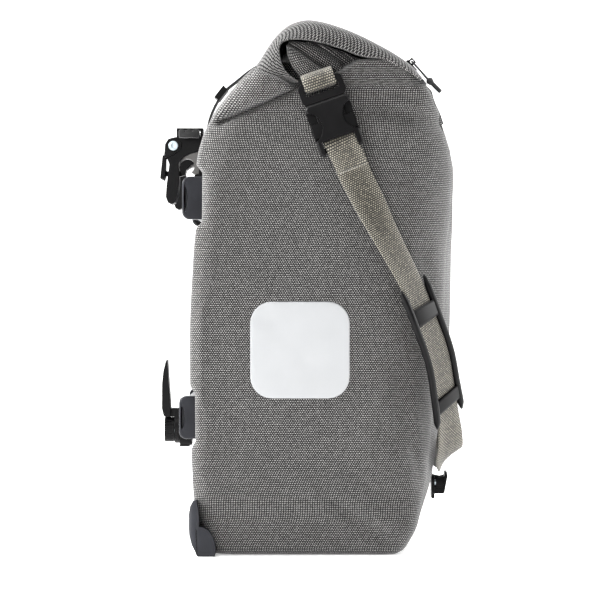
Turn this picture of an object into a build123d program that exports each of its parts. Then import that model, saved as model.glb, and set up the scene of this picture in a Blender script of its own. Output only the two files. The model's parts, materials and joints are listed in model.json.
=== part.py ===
from build123d import *
import math
import os

os.makedirs("parts", exist_ok=True)

# Roll-top bicycle pannier. Frame: +Z up, -X the rack side, +X the outer face, Y along the
# bag's width. Origin: middle of the base, on the floor. Millimetres.

# ---------------------------------------------------------------- driving dimensions
BAG_TOP = 388.0            # where the fabric body ends and the rolled closure begins
ROLL_TOP = 420.0
ROLL_HALF = 158.0          # half the length of the roll
FABRIC = 2.0               # coated fabric with its seam folds
SKIN_PAD = 0.8             # thickness of a flat patch welded on the fabric

# Body sections: height, rack-side x, outer x, half width, corner radius.
BODY = [
    (0.0, -80.0, 62.0, 97.0, 24.0),
    (3.0, -85.0, 68.0, 103.0, 26.0),
    (10.0, -88.5, 76.0, 108.5, 28.0),
    (24.0, -90.5, 86.0, 112.0, 30.0),
    (60.0, -91.5, 98.0, 116.5, 33.0),
    (110.0, -92.0, 105.0, 122.0, 36.0),
    (180.0, -91.5, 113.5, 130.0, 38.0),
    (240.0, -88.0, 115.0, 138.0, 38.0),
    (264.0, -85.3, 115.0, 141.5, 38.0),
    (302.0, -85.3, 112.5, 147.5, 36.0),
    (343.0, -81.5, 102.0, 154.0, 30.0),
    (365.0, -68.0, 91.0, 157.0, 22.0),
    (BAG_TOP, -41.0, 70.0, ROLL_HALF, 14.0),
]

RAIL_HALF = 104.0          # half the length of an aluminium rail
RAIL_DEEP = 6.5            # how far a rail stands off the back
RAIL_LIP = 1.5
RAIL_WEB = 2.5
RAIL_HIGH = 32.0
SCREW_HOLE_R = 2.2
UPPER_RAIL_X = -85.4       # rack-side face of the back at the upper rail
UPPER_RAIL_Z = 283.0
LOWER_RAIL_X = -92.2
LOWER_RAIL_Z = 109.5
CAP_LONG = 9.0             # length of a rail end cap along the rail
UPPER_CAP_DEEP = 17.6      # a cap is also the bumper that meets the rack
LOWER_CAP_DEEP = 13.2

TUBE_R = 6.0               # the rack tube that the hooks take
TUBE_FIT = 0.1             # play of the liner round the tube
TUBE_RELIEF = 0.7          # and of the hook's own arch
TUBE_X = -100.4
TUBE_Z = 309.5
HOOK_Y = 72.0              # rest place of a hook on the rail
HOOK_HALF = 12.0
PIVOT_X = -111.0
PIVOT_Z = 325.5
SLIDE_GAP = 0.4            # play between sliding pieces

KNOB_Z = 95.3              # axis of the lower hook's knob
KNOB_R = 10.2
KNOB_FLUTES = 24
WEB_WIDE = 25.0            # shoulder webbing
WEB_THICK = 2.0
WEB_HALF = WEB_WIDE / 2
BUCKLE_HALF = 17.8
BUCKLE_X = 14.5
BUCKLE_Z = 343.0
BUCKLE_TILT = 19.0         # degrees from upright, leaning down and outwards


# ---------------------------------------------------------------- helpers
def save(shape, name):
    export_step(shape, f"parts/{name}.step")


def body_loft(grow, low=0.0, high=0.0):
    """The body's shape, with its walls moved out by grow and its ends moved by low and high."""
    faces = []
    for i, (z, back, front, half, radius) in enumerate(BODY):
        z += low if i == 0 else (high if i == len(BODY) - 1 else 0.0)
        long_x, long_y = front - back + 2 * grow, 2 * (half + grow)
        plane = Plane(origin=((front + back) / 2, 0, z))
        faces.append(plane * RectangleRounded(long_x, long_y, max(radius + grow, 4.0)))
    return loft(faces, ruled=True)


def rect_prism(x0, x1, y0, y1, z0, z1):
    return Pos((x0 + x1) / 2, (y0 + y1) / 2, (z0 + z1) / 2) * Box(x1 - x0, y1 - y0, z1 - z0)


def side_prism(points, y0, y1):
    """A prism along Y from an outline in X and Z."""
    outline = make_face(Polyline(*[(x, 0, z) for x, z in points], close=True))
    return Pos(0, y0, 0) * extrude(outline, amount=y1 - y0, dir=(0, 1, 0))


def rod(centre, radius, length, axis):
    """A cylinder centred on a point, along X, Y or Z."""
    turn = {"x": (0, 90, 0), "y": (90, 0, 0), "z": (0, 0, 0)}[axis]
    return Pos(*centre) * Rot(*turn) * Cylinder(radius, length)


def group(*shapes):
    """Separate solids of one node."""
    return Compound(children=[s for shape in shapes for s in shape.solids()])


def ribbon(stations, width, thick, aside=0.0, lift=0.0):
    """A flat strip through stations of (point, across, outward)."""
    wires = []
    for point, across, outward in stations:
        centre = point + across * aside + outward * (lift + thick / 2)
        plane = Plane(origin=centre, x_dir=across, z_dir=across.cross(outward))
        wires.append((plane * Rectangle(width, thick)).wire())
    return Solid.make_loft(wires, ruled=True)


def strip_stations(points, outwards):
    """Stations along hand-set points: across is square to the run and to the outward way."""
    vectors = [Vector(*p) for p in points]
    stations = []
    for i, point in enumerate(vectors):
        run = vectors[min(i + 1, len(vectors) - 1)] - vectors[max(i - 1, 0)]
        outward = Vector(*outwards[i])
        across = run.cross(outward).normalized()
        stations.append((point, across, across.cross(run).normalized()))
    return stations


# ---------------------------------------------------------------- fabric and boards
BACK_WALL = body_loft(0.0)


def bag_body():
    inside = body_loft(-FABRIC, low=FABRIC, high=1.0)
    body = BACK_WALL - inside
    for x, z in screw_places():
        for y in RAIL_SCREWS:
            body -= rod((x, y, z), SCREW_HOLE_R, 24, "x")
    return body


def closure_roll():
    outline = [(-41, BAG_TOP), (-27, 404), (-20, 413), (-7, ROLL_TOP), (15, 416.5), (37, 408),
               (70, BAG_TOP)]
    roll = side_prism(outline, -ROLL_HALF, ROLL_HALF)
    hollow = [(-29, BAG_TOP), (-19, 398), (24, 400), (45, BAG_TOP)]
    roll -= side_prism(hollow, -ROLL_HALF - 1, ROLL_HALF + 1)
    roll -= rect_prism(-14.4, 18.4, -ROLL_HALF - 1, ROLL_HALF + 1, 406.6, 410.4)
    return roll


def closure_stiffener():
    return rect_prism(-14, 18, -150, 150, 407, 410)


def board_face(z):
    """The inner face of the back board, which leans in towards the top."""
    return -82.5 + 5.0 * (z - 20.0) / 298.0


def back_board():
    low, high = board_face(20), board_face(318)
    board = side_prism([(low - 2, 20), (low, 20), (high, 318), (high - 2, 318)], -90, 90)
    for x, z in screw_places():
        for y in RAIL_SCREWS:
            board -= rod((x, y, z), SCREW_HOLE_R, 24, "x")
    return board


def base_board():
    outline = Plane(origin=(-9, 0, FABRIC + 0.3)) * RectangleRounded(134, 182, 20)
    return extrude(outline, amount=2.0)


def inner_pocket():
    outer = rect_prism(-76, -60, -85, 85, 120, 262)
    return outer - rect_prism(-74.8, -61.2, -83.8, 83.8, 121.2, 263)


def reflector(side):
    wide, high, x, z = 78.0, 76.0, -9.8, 163.0
    patch = body_loft(SKIN_PAD) - BACK_WALL
    prism = Plane(origin=(x, side * 110, z), x_dir=(1, 0, 0), z_dir=(0, side, 0))
    return patch & extrude(prism * RectangleRounded(wide, high, 12), amount=60)


GUARD_SIDE = [             # the guard's outline from the side: upright rib, arched wing, foot
    (-91.6, 44.6), (-94.2, 43.8), (-96.6, 39.5), (-97.9, 33.0), (-98.2, 25.0), (-97.3, 16.5),
    (-95.2, 9.0), (-92.4, 3.6), (-91.0, 0.0), (-77.0, 0.0), (-76.3, 3.0), (-77.0, 10.0), (-78.6, 15.5),
    (-81.8, 20.4), (-85.8, 22.8), (-89.6, 23.6), (-89.4, 30.0), (-90.2, 38.0)]
GUARD_OUT = 118.5          # outer face of the wing, from the middle of the bag


def corner_guard(side):
    plan = rect_prism(-98.5, -60, 84, GUARD_OUT, -1, 50)
    upright = [e for e in plan.edges().filter_by(Axis.Z) if e.center().X < -90 and e.center().Y > 100]
    plan = fillet(upright, 9)
    guard = plan & side_prism(GUARD_SIDE, 84, GUARD_OUT)
    guard -= side_prism([(-91.4, -1), (-90.2, -1), (-91.0, 21.0), (-92.2, 21.0)], 116.5, 120)
    guard -= BACK_WALL
    guard -= rect_prism(-99, -95.5, 96, 99, 12, 30)
    guard = guard.solids().sort_by(SortBy.VOLUME)[-1]
    return guard if side > 0 else mirror(guard, about=Plane.XZ)


# ---------------------------------------------------------------- rails
RAIL_SCREWS = (-40.0, 0.0, 40.0)


def screw_places():
    return [(UPPER_RAIL_X, UPPER_RAIL_Z), (LOWER_RAIL_X, LOWER_RAIL_Z)]


def rail(back_x, z):
    """A C-shaped rail: web against the back, two lips that hold a slider's T-head."""
    front = back_x - RAIL_DEEP
    half = RAIL_HIGH / 2
    section = rect_prism(front, back_x, -RAIL_HALF, RAIL_HALF, z - half, z + half)
    section -= rect_prism(front + RAIL_LIP, back_x - RAIL_WEB, -200, 200, z - half + 3, z + half - 3)
    section -= rect_prism(front - 1, front + RAIL_LIP + 0.1, -200, 200, z - 7.5, z + 7.5)
    for y in RAIL_SCREWS:
        section -= rod((back_x, y, z), SCREW_HOLE_R, 14, "x")
        section -= rod((back_x - RAIL_WEB, y, z), 4.2, 2.6, "x")
    return section


def rail_cap(back_x, z, deep, side):
    block = rect_prism(back_x - deep, back_x, 0, CAP_LONG, z - 17, z + 17)
    block = fillet(block.edges().filter_by(Axis.Y).sort_by(Axis.X)[:2], 6)
    block = fillet(block.faces().sort_by(Axis.Y)[-1].edges().sort_by(Axis.X)[:-1], 1.6)
    block -= rect_prism(back_x - deep - 1, back_x - 9, 3.6, 5.2, z - 9, z + 9)
    slot_x = back_x - deep + 2.2
    block -= side_prism([(slot_x, z - 9), (slot_x + 1.4, z - 7), (slot_x + 2.2, z), (slot_x + 1.4, z + 7),
                         (slot_x, z + 9), (slot_x - 0.4, z)], 6.4, CAP_LONG + 1)
    cap = Pos(0, RAIL_HALF + 0.05, 0) * block
    return cap if side > 0 else mirror(cap, about=Plane.XZ)


def rail_screws(back_x, z):
    """Screws sunk in the rail's web, with a nut behind the board."""
    start, inner = back_x - RAIL_WEB + 0.1, board_face(z) + 0.4
    screws = []
    for y in RAIL_SCREWS:
        head = rod((start + 0.6, y, z), 4.0, 1.2, "x")
        shaft = rod(((start + inner + 3) / 2, y, z), 2.0, inner + 3 - start, "x")
        nut = rod((inner + 1.2, y, z), 5.0, 2.4, "x")
        screws.append(head + shaft + nut)
    return group(*screws)


# ---------------------------------------------------------------- top hooks
RAIL_FRONT = UPPER_RAIL_X - RAIL_DEEP
HOOK_FRONT = RAIL_FRONT - SLIDE_GAP - 1.9      # outer face of the hook's foot
FINGER_IN, FINGER_OUT = 20.5, 24.5             # radii of the closing finger about the pivot
FINGER_HALF = 4.0


def arc_bar(inner, outer, start, end, half):
    """A bar along an arc about the pivot, between two angles in the XZ plane."""
    steps = 8
    angles = [math.radians(start + (end - start) * i / steps) for i in range(steps + 1)]
    rim = [(PIVOT_X + outer * math.cos(a), PIVOT_Z + outer * math.sin(a)) for a in angles]
    back = [(PIVOT_X + inner * math.cos(a), PIVOT_Z + inner * math.sin(a)) for a in reversed(angles)]
    return side_prism(rim + back, -half, half)


def tube_space(extra):
    return rod((TUBE_X, 0, TUBE_Z), TUBE_R + extra, 60, "y")


def hook_body():
    half = HOOK_HALF
    head = rect_prism(RAIL_FRONT + RAIL_LIP + 0.3, UPPER_RAIL_X - RAIL_WEB - 0.3, -half, half, 271.4, 294.6)
    neck = rect_prism(HOOK_FRONT, RAIL_FRONT + RAIL_LIP + 0.4, -half, half, 276.0, 290.0)
    foot = rect_prism(HOOK_FRONT, RAIL_FRONT - SLIDE_GAP, -half, half, 270.0, 302.4)
    step = rect_prism(HOOK_FRONT, -87.4, -half, half, 299.8, 302.4)
    web = rect_prism(-90.4, -87.4, -half, half, 299.8, 330.0)
    arch = side_prism(
        [(-87.4, 332.6), (-103, 332.6), (-110, 332.6), (-116.5, 329), (-117.2, 318),
         (-114.3, 311), (-116.6, 294), (-117.2, 284.7), (-115.5, 280.3), (-112.5, 278.8),
         (-109.6, 280.3), (-107.6, 286), (-106.6, 296), (-106.6, 309), (-105.6, 313.5),
         (-102.5, 317), (-98, 319.3), (-90.4, 321.5), (-87.4, 323)], -half, half)
    tongue = side_prism(
        [(HOOK_FRONT, 272), (HOOK_FRONT - 2.2, 272), (-94.6, 265), (-91.2, 261.4), (-89.2, 263.4),
         (-90.2, 264.6), (-92.6, 266)], -6, 6)
    hook = head + neck + foot + step + web + arch + tongue - tube_space(TUBE_RELIEF)
    hook -= arc_bar(FINGER_IN - 0.5, FINGER_OUT + 0.5, -135, -50, FINGER_HALF + 0.5)
    hook -= rod((PIVOT_X, 0, PIVOT_Z), 2.55, 60, "y")
    loop = rect_prism(-108.5, -87.4, -half, half, 330, 339.8)
    loop -= rect_prism(-106.6, -89.3, -30, 30, 332.6, 338.4)
    return hook + loop


def hook_insert():
    """The liner under the arch that fits the hook to a 12 mm tube."""
    block = side_prism(
        [(-106.4, 310.0), (-105.3, 313.3), (-102.3, 316.7), (-97.9, 319.0), (-90.8, 320.9),
         (-90.8, 303.0), (-94.2, 303.0)], -10.5, 10.5)
    return (block - tube_space(TUBE_FIT)).solids().sort_by(SortBy.VOLUME)[-1]


def release_lever():
    """Two cheeks on the pivot, a tail to pull and the finger that closes the hook below the tube."""
    cheek_in, cheek_out = HOOK_HALF + 0.4, HOOK_HALF + 2.6
    tail = [(-117.6, 327), (-118.4, 318), (-120.4, 299.5), (-118.9, 298.6), (-117.8, 303),
            (-117.6, 316), (-111, 318.5), (-105.2, 323), (-105.0, 328.5), (-111, 332.2), (-115, 331)]
    lever = side_prism(tail, cheek_in, cheek_out) + side_prism(tail, -cheek_out, -cheek_in)
    lever += side_prism(
        [(-119.6, 318), (-121.6, 299.5), (-119.0, 298.4), (-117.7, 301.5), (-118.0, 318)],
        -cheek_out, cheek_out)
    finger = arc_bar(FINGER_IN, FINGER_OUT, -112, -66, FINGER_HALF) - tube_space(0.5)
    lever += finger
    lever += side_prism([(-120.4, 300), (-117.6, 300.2), (-117.2, 306.5), (-119.4, 306.5)], -4, 4)
    lever -= rod((PIVOT_X, 0, PIVOT_Z), 2.55, 60, "y")
    return lever


def pivot_screw():
    shaft = rod((PIVOT_X, 0, PIVOT_Z), 2.5, 2 * (HOOK_HALF + 2.9), "y")
    ends = [rod((PIVOT_X, s * (HOOK_HALF + 3.9), PIVOT_Z), 3.8, 2.0, "y") for s in (-1, 1)]
    screw = shaft + ends[0] + ends[1]
    for s in (-1, 1):
        screw -= Pos(PIVOT_X, s * (HOOK_HALF + 4.5), PIVOT_Z) * Rot(90, 0, 0) * extrude(
            RegularPolygon(1.6, 6), amount=1.2, both=True)
    return screw


def carry_handle():
    """Webbing handle: a flat run through the hooks' loops, with folded hems as end stops."""
    def fold(middle, y0, y1):
        return side_prism(
            [(middle - 2.3, 330.8), (middle - 2.3, 336.4), (middle - 1.2, 338.0), (middle + 1.2, 338.0),
             (middle + 2.3, 336.4), (middle + 2.3, 330.8)], y0, y1)
    strip = ribbon(strip_stations(
        [(-98, -101, 333.1), (-98, -50, 333.1), (-98, -28, 336), (-98, 0, 338), (-98, 28, 336),
         (-98, 50, 333.1), (-98, 101, 333.1)], [(0, 0, 1)] * 7), 16, 2.2)
    for s in (-1, 1):
        y0, y1 = sorted((s * 93.5, s * 101.5))
        for middle in (-103.6, -98.0, -92.3):
            strip += fold(middle, y0, y1)
        strip += rect_prism(-105.9, -90.0, y0, y1, 330.8, 333.6)
    return strip


# ---------------------------------------------------------------- lower hook
LOWER_FRONT = LOWER_RAIL_X - RAIL_DEEP


def lower_carriage():
    head = rect_prism(LOWER_FRONT + RAIL_LIP + 0.3, LOWER_RAIL_X - RAIL_WEB - 0.3, -14, 14, 97.9, 121.1)
    neck = rect_prism(LOWER_FRONT - 1, LOWER_FRONT + RAIL_LIP + 0.4, -14, 14, 102.4, 116.6)
    block = rect_prism(-108.9, LOWER_FRONT - SLIDE_GAP, -14, 14, 82.5, 121.0)
    block = fillet(block.edges().filter_by(Axis.X), 5)
    carriage = head + neck + block
    carriage += rect_prism(-109.0, -101.0, -11, 11, 81.5, 85.0)
    carriage -= rod((-105, 0, KNOB_Z), 3.05, 12.5, "x")
    return carriage


def lower_fin():
    """The anti-sway fin: a hub on the stud, a neck and a curved blade."""
    hub = rod((-111.3, 0, KNOB_Z), 11.5, 4.0, "x")
    low = KNOB_Z + KNOB_R + SLIDE_GAP
    neck = rect_prism(-113.3, -109.3, -8, 8, KNOB_Z, 113.0)
    bridge = rect_prism(-121.5, -109.3, -8, 8, low, 113.0)
    blade = side_prism(
        [(-116.6, low), (-117.0, 118.0), (-117.9, 131.7), (-118.5, 143.4), (-119.2, 152.6),
         (-119.9, 153.0), (-120.8, 151.0), (-122.6, 143.4), (-123.7, 132.7), (-123.8, 113.0),
         (-122.4, low + 1), (-120.6, low)], -11, 11)
    fin = hub + neck + bridge + blade
    return fin - rod((-111, 0, KNOB_Z), 3.05, 8, "x")


def lower_knob():
    knob = rod((-117.7, 0, KNOB_Z), KNOB_R, 8.0, "x")
    flute = KNOB_R + 0.5
    for i in range(KNOB_FLUTES):
        a = 2 * math.pi * i / KNOB_FLUTES
        knob -= rod((-118.5, flute * math.cos(a), KNOB_Z + flute * math.sin(a)), 0.9, 7.0, "x")
    return knob - rod((-116, 0, KNOB_Z), 3.05, 7.0, "x")


def lower_stud():
    return rod((-109.2, 0, KNOB_Z), 3.0, 20.0, "x")


# ---------------------------------------------------------------- buckles and straps
def buckle_place(side):
    """Buckle frame: x across, y along the strap downwards, z outwards from the side panel."""
    tilt = math.radians(BUCKLE_TILT)
    down = Vector(math.sin(tilt), 0, -math.cos(tilt))
    out = Vector(0, side, 0)
    return Plane(origin=(BUCKLE_X, side * 162.0, BUCKLE_Z), x_dir=down.cross(out), z_dir=out)


def plan_prism(outline, z0, z1):
    """A prism on an outline of (x, y) points, from height z0 to z1."""
    face = make_face(Polyline(*[(x, y, z0) for x, y in outline], close=True))
    return extrude(face, amount=z1 - z0, dir=(0, 0, 1))


SIDE_WINDOW = [(19, -9.0), (15.5, -8.2), (12.0, -5.8), (9.6, -2.4), (8.6, 1.8), (8.9, 5.6),
               (10.6, 9.4), (13.4, 12.4), (16.6, 14.4), (19, 15.0)]


def buckle_female():
    """Sleeve for the prongs with a curved window at each side, and two legs with a webbing bar."""
    shell = rect_prism(-BUCKLE_HALF, BUCKLE_HALF, -14, 27.5, 0, 11)
    shell = fillet(shell.edges().filter_by(Axis.Z), 4)
    shell = chamfer(shell.faces().sort_by(Axis.Z)[-1].edges(), 1.5)
    shell -= rect_prism(-14.5, 14.5, -15, 14, 2.2, 8.8)
    for s in (-1, 1):
        shell -= plan_prism([(s * x, y) for x, y in SIDE_WINDOW], 2.2, 12)
    shell -= rect_prism(-13.2, 13.2, 16.0, 21.0, -1, 12)
    shell -= rect_prism(-13.2, 13.2, 20.9, 30.0, 4.5, 12)
    shell -= rect_prism(-13.2, 13.2, 25.0, 30.0, -1, 12)
    return shell


def buckle_male():
    frame = rect_prism(-BUCKLE_HALF, BUCKLE_HALF, -31, -14.4, 0, 9)
    frame = fillet(frame.edges().filter_by(Axis.Z), 4)
    frame -= rect_prism(-13.5, 13.5, -26.5, -20.5, -1, 12)
    guide = rect_prism(-2.5, 2.5, -15, 12, 3.2, 7.8)
    return frame + guide


def buckle_prong(side):
    """A springy arm of the male half; its tab shows in the female half's side window."""
    prong = rect_prism(8.2, 11.0, -13.9, 5, 3.2, 7.8) + rect_prism(8.2, 17.2, 1.2, 12.6, 3.2, 7.8)
    return prong if side > 0 else mirror(prong, about=Plane.YZ)


def on_buckle(shape, side):
    return buckle_place(side).location * shape


def roll_webbing(side):
    """Short webbing end that comes out of the roll and holds the male half."""
    plane = buckle_place(side)
    loop = rect_prism(-WEB_HALF, WEB_HALF, -44, -23.8, 9.4, 11.0)
    loop += rect_prism(-WEB_HALF, WEB_HALF, -44, -23.8, -3.0, -1.4)
    loop += rect_prism(-WEB_HALF, WEB_HALF, -25.4, -23.8, -3.0, 11.0)
    return plane.location * loop


STRAP_ROUTE = [            # points and outward ways on the near side; the far half is its mirror
    ((22.0, -159.0, 324.0), (0, -1, 0)),
    ((31.4, -158.5, 302.5), (0, -1, 0)),
    ((40.5, -157.5, 284.0), (0.12, -0.99, 0.05)),
    ((55.5, -155.0, 254.0), (0.52, -0.83, 0.13)),
    ((76.0, -147.5, 215.0), (0.68, -0.67, 0.15)),
    ((88.5, -142.5, 184.0), (0.745, -0.65, 0.04)),
    ((99.2, -129.5, 157.0), (0.716, -0.634, -0.06)),
    ((105.8, -117.5, 130.5), (0.743, -0.59, -0.15)),
    ((111.0, -104.5, 108.0), (0.745, -0.61, -0.27)),
    ((113.0, -90.5, 91.0), (0.55, -0.65, -0.515)),
    ((113.5, -72.0, 74.0), (0.315, -0.585, -0.675)),
    ((110.5, -42.0, 66.0), (0.8, 0, -0.6)),
    ((107.8, -18.0, 67.0), (0.97, 0, -0.25)),
    ((107.2, 0.0, 70.0), (1, 0, 0)),
]


def strap_stations(first=0, last=None):
    """Stations of the near half, the last one square to the middle plane."""
    stations = strip_stations([p for p, o in STRAP_ROUTE], [o for p, o in STRAP_ROUTE])
    stations[-1] = (stations[-1][0], Vector(0, 0, 1), Vector(1, 0, 0))
    return stations[first:last]


def shoulder_strap(side):
    strap = ribbon(strap_stations(), WEB_WIDE, WEB_THICK)
    return strap if side < 0 else mirror(strap, about=Plane.XZ)


def strap_tail(side):
    """The strap's end, looped through the female half and sewn on itself."""
    plane = buckle_place(side)
    loop = rect_prism(-WEB_HALF, WEB_HALF, 17.6, 19.2, -0.9, 7.0)
    loop += rect_prism(-WEB_HALF, WEB_HALF, 17.6, 27.2, 5.4, 7.0)
    loop += rect_prism(-WEB_HALF, WEB_HALF, 25.6, 27.2, -0.9, 7.0)
    loop += rect_prism(-WEB_HALF, WEB_HALF, 25.6, 46.0, -0.9, 0.7)
    return plane.location * loop


def strap_pad():
    """Ladder-shaped moulded pad: two rails beside the webbing, two crossbars over it."""
    stations = strap_stations(4, 9)
    pad = None
    for aside in (-15.6, 15.6):
        part = ribbon(stations, 5.4, 4.6, aside=aside, lift=-0.6)
        pad = part if pad is None else pad + part
    for low, high, start, end in ((0, 1, 0.5, 0.95), (3, 4, 0.2, 0.75)):
        a, b = stations[low], stations[high]
        ends = [(a[0] + (b[0] - a[0]) * t, (a[1] + (b[1] - a[1]) * t).normalized(),
                 (a[2] + (b[2] - a[2]) * t).normalized()) for t in (start, end)]
        pad += ribbon(ends, 36.0, 2.0, lift=WEB_THICK + 0.4)
    return pad


def front_hook():
    """The hook low on the outer face that both straps end in."""
    plate = rect_prism(98.8, 101.0, -16, 16, 38.5, 58.0)
    plate = fillet(plate.edges().filter_by(Axis.X), 4)
    neck = rect_prism(100.5, 109.0, -11, 11, 42.5, 47.5)
    lip = side_prism([(104.5, 42.5), (109.5, 43.5), (112.0, 57.0), (111.4, 61.0), (109.8, 60.4),
                      (108.6, 47.5)], -11, 11)
    return plate + neck + lip


def hook_rivets():
    return group(*[rod((101.6, y, 52.0), 2.4, 1.2, "x") for y in (-10.5, 10.5)])


# ---------------------------------------------------------------- zip on the outer face
ZIP_Y = -105.0
ZIP_TOP = Vector(71.5, ZIP_Y, 389.5)
ZIP_END = Vector(92.5, ZIP_Y, 366.5)
ZIP_LOW = Vector(104.6, ZIP_Y, 343.0)


def zip_line():
    across = Vector(0, 1, 0)
    stations = []
    points = [ZIP_TOP, ZIP_END, ZIP_LOW, Vector(113.8, ZIP_Y, 303.0)]
    for i, point in enumerate(points):
        run = points[min(i + 1, len(points) - 1)] - points[max(i - 1, 0)]
        stations.append((point, across, across.cross(run.normalized()) * -1))
    return stations


def zip_tape():
    return ribbon(zip_line(), 22.0, 1.0, lift=0.3)


def zip_teeth():
    return ribbon(zip_line(), 5.0, 1.2, lift=1.3)


def zip_slider():
    run = (ZIP_END - ZIP_TOP).normalized()
    across = Vector(0, 1, 0)
    out = across.cross(run) * -1
    low = [(ZIP_TOP + run * d, across, out) for d in (0.5, 11.5)]
    high = [(ZIP_TOP + run * d, across, out) for d in (1.2, 6.4)]
    body = ribbon(low, 9.0, 2.2, lift=2.8)
    eye = ribbon(high, 2.0, 4.4, lift=4.4)
    hole = ZIP_TOP + run * 3.8 + out * 6.6
    return body + eye - Pos(hole.X, hole.Y, hole.Z) * Rot(90, 0, 0) * Cylinder(1.4, 12)


CORD_D = 1.6
CORD_ROUTE = [             # from the knot up to the slider's eye, through it and back to the knot
    (91.5, -103.9, 377.6), (88.4, -102.8, 381.2), (85.4, -102.4, 384.6), (82.4, -102.6, 388.0),
    (78.9, -102.6, 391.2), (78.9, -107.4, 391.2), (82.2, -107.3, 387.6), (85.4, -107.4, 384.0),
    (88.2, -107.0, 380.6), (91.2, -106.1, 377.2),
]


def route_radii(points):
    """Arc radii as large as two thirds of the neighbouring runs allow."""
    radii = []
    for a, b, c in zip(points, points[1:], points[2:]):
        first, second = Vector(*b) - Vector(*a), Vector(*c) - Vector(*b)
        half_turn = math.radians(first.get_angle(second)) / 2
        radii.append(0.45 * min(first.length, second.length) / math.tan(half_turn))
    return radii


KNOT_AT = (93.3, -105.0, 375.6)
KNOT_R = 3.1


def zip_cord():
    radii = route_radii(CORD_ROUTE)
    path = FilletPolyline(*CORD_ROUTE, radius=radii)
    start = Plane(origin=path @ 0, z_dir=path % 0)
    cord = sweep(start * Circle(CORD_D / 2), path=path)
    section = math.pi * CORD_D ** 2 / 4
    print("zip cord radii", [round(r, 1) for r in radii], "length", round(path.length, 1),
          "volume", round(cord.volume, 1), "section x length", round(section * path.length, 1))
    return cord


def zip_knot():
    return Pos(*KNOT_AT) * Sphere(KNOT_R) - zip_cord()


def zip_tail():
    """The two cord ends below the knot, bound in a sleeve."""
    x, y, z = KNOT_AT
    return Pos(x + 5.2, y, z - 5.2) * Rot(0, 135, 0) * Cylinder(1.7, 9.4)


# ---------------------------------------------------------------- back strap
def back_strap_stations():
    points = [(-82.7, 0, 321.5), (-85.4, 0, 335.0), (-83.4, 0, 349.5), (-80.0, 0, 359.0), (-76.0, 0, 366.5),
              (-69.0, 0, 375.5), (-61.0, 0, 382.0), (-53.0, 0, 388.5), (-43.5, 0, 394.8), (-33.5, 0, 400.2)]
    return strip_stations(points, [(-1, 0, 0.4)] * len(points))


def back_strap():
    return ribbon(back_strap_stations(), 20.0, 1.4, lift=1.0)


def back_buckle():
    stations = back_strap_stations()
    body = ribbon(stations[4:6], 26.0, 5.0, lift=0.6)
    return body - ribbon(stations[3:7], 20.8, 2.0, lift=0.7)


if __name__ == "__main__":
    save(bag_body(), "bag_body")
    save(closure_roll(), "closure_roll")
    save(closure_stiffener(), "closure_stiffener")
    save(back_board(), "back_board")
    save(base_board(), "base_board")
    save(inner_pocket(), "inner_pocket")
    save(rail(UPPER_RAIL_X, UPPER_RAIL_Z), "upper_rail")
    save(rail(LOWER_RAIL_X, LOWER_RAIL_Z), "lower_rail")
    save(rail_screws(UPPER_RAIL_X, UPPER_RAIL_Z), "upper_rail_screws")
    save(rail_screws(LOWER_RAIL_X, LOWER_RAIL_Z), "lower_rail_screws")
    save(lower_carriage(), "lower_carriage")
    save(lower_fin(), "lower_fin")
    save(lower_knob(), "lower_knob")
    save(lower_stud(), "lower_stud")
    save(carry_handle(), "carry_handle")
    save(strap_pad(), "strap_pad")
    save(front_hook(), "front_hook")
    save(hook_rivets(), "front_hook_rivets")
    save(zip_tape(), "zip_tape")
    save(zip_teeth(), "zip_teeth")
    save(zip_slider(), "zip_slider")
    save(zip_cord(), "zip_cord")
    save(zip_knot(), "zip_knot")
    save(zip_tail(), "zip_tail")
    save(back_strap(), "back_strap")
    save(back_buckle(), "back_buckle")
    for name, side in (("near", -1), ("far", 1)):
        save(reflector(side), f"reflector_{name}")
        save(corner_guard(side), f"corner_guard_{name}")
        save(rail_cap(UPPER_RAIL_X, UPPER_RAIL_Z, UPPER_CAP_DEEP, side), f"upper_rail_cap_{name}")
        save(rail_cap(LOWER_RAIL_X, LOWER_RAIL_Z, LOWER_CAP_DEEP, side), f"lower_rail_cap_{name}")
        place = Pos(0, side * HOOK_Y, 0)
        save(place * hook_body(), f"hook_body_{name}")
        save(place * hook_insert(), f"hook_insert_{name}")
        save(place * release_lever(), f"release_lever_{name}")
        save(place * pivot_screw(), f"pivot_screw_{name}")
        save(on_buckle(buckle_female(), side), f"buckle_female_{name}")
        save(on_buckle(buckle_male(), side), f"buckle_male_{name}")
        for prong, way in (("a", 1), ("b", -1)):
            save(on_buckle(buckle_prong(way), side), f"buckle_prong_{name}_{prong}")
        save(roll_webbing(side), f"roll_webbing_{name}")
        save(shoulder_strap(side), f"shoulder_strap_{name}")
        save(strap_tail(side), f"strap_tail_{name}")
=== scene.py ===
import json
import math

import bpy
import bmesh
from mathutils import Matrix, Vector, noise

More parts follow.
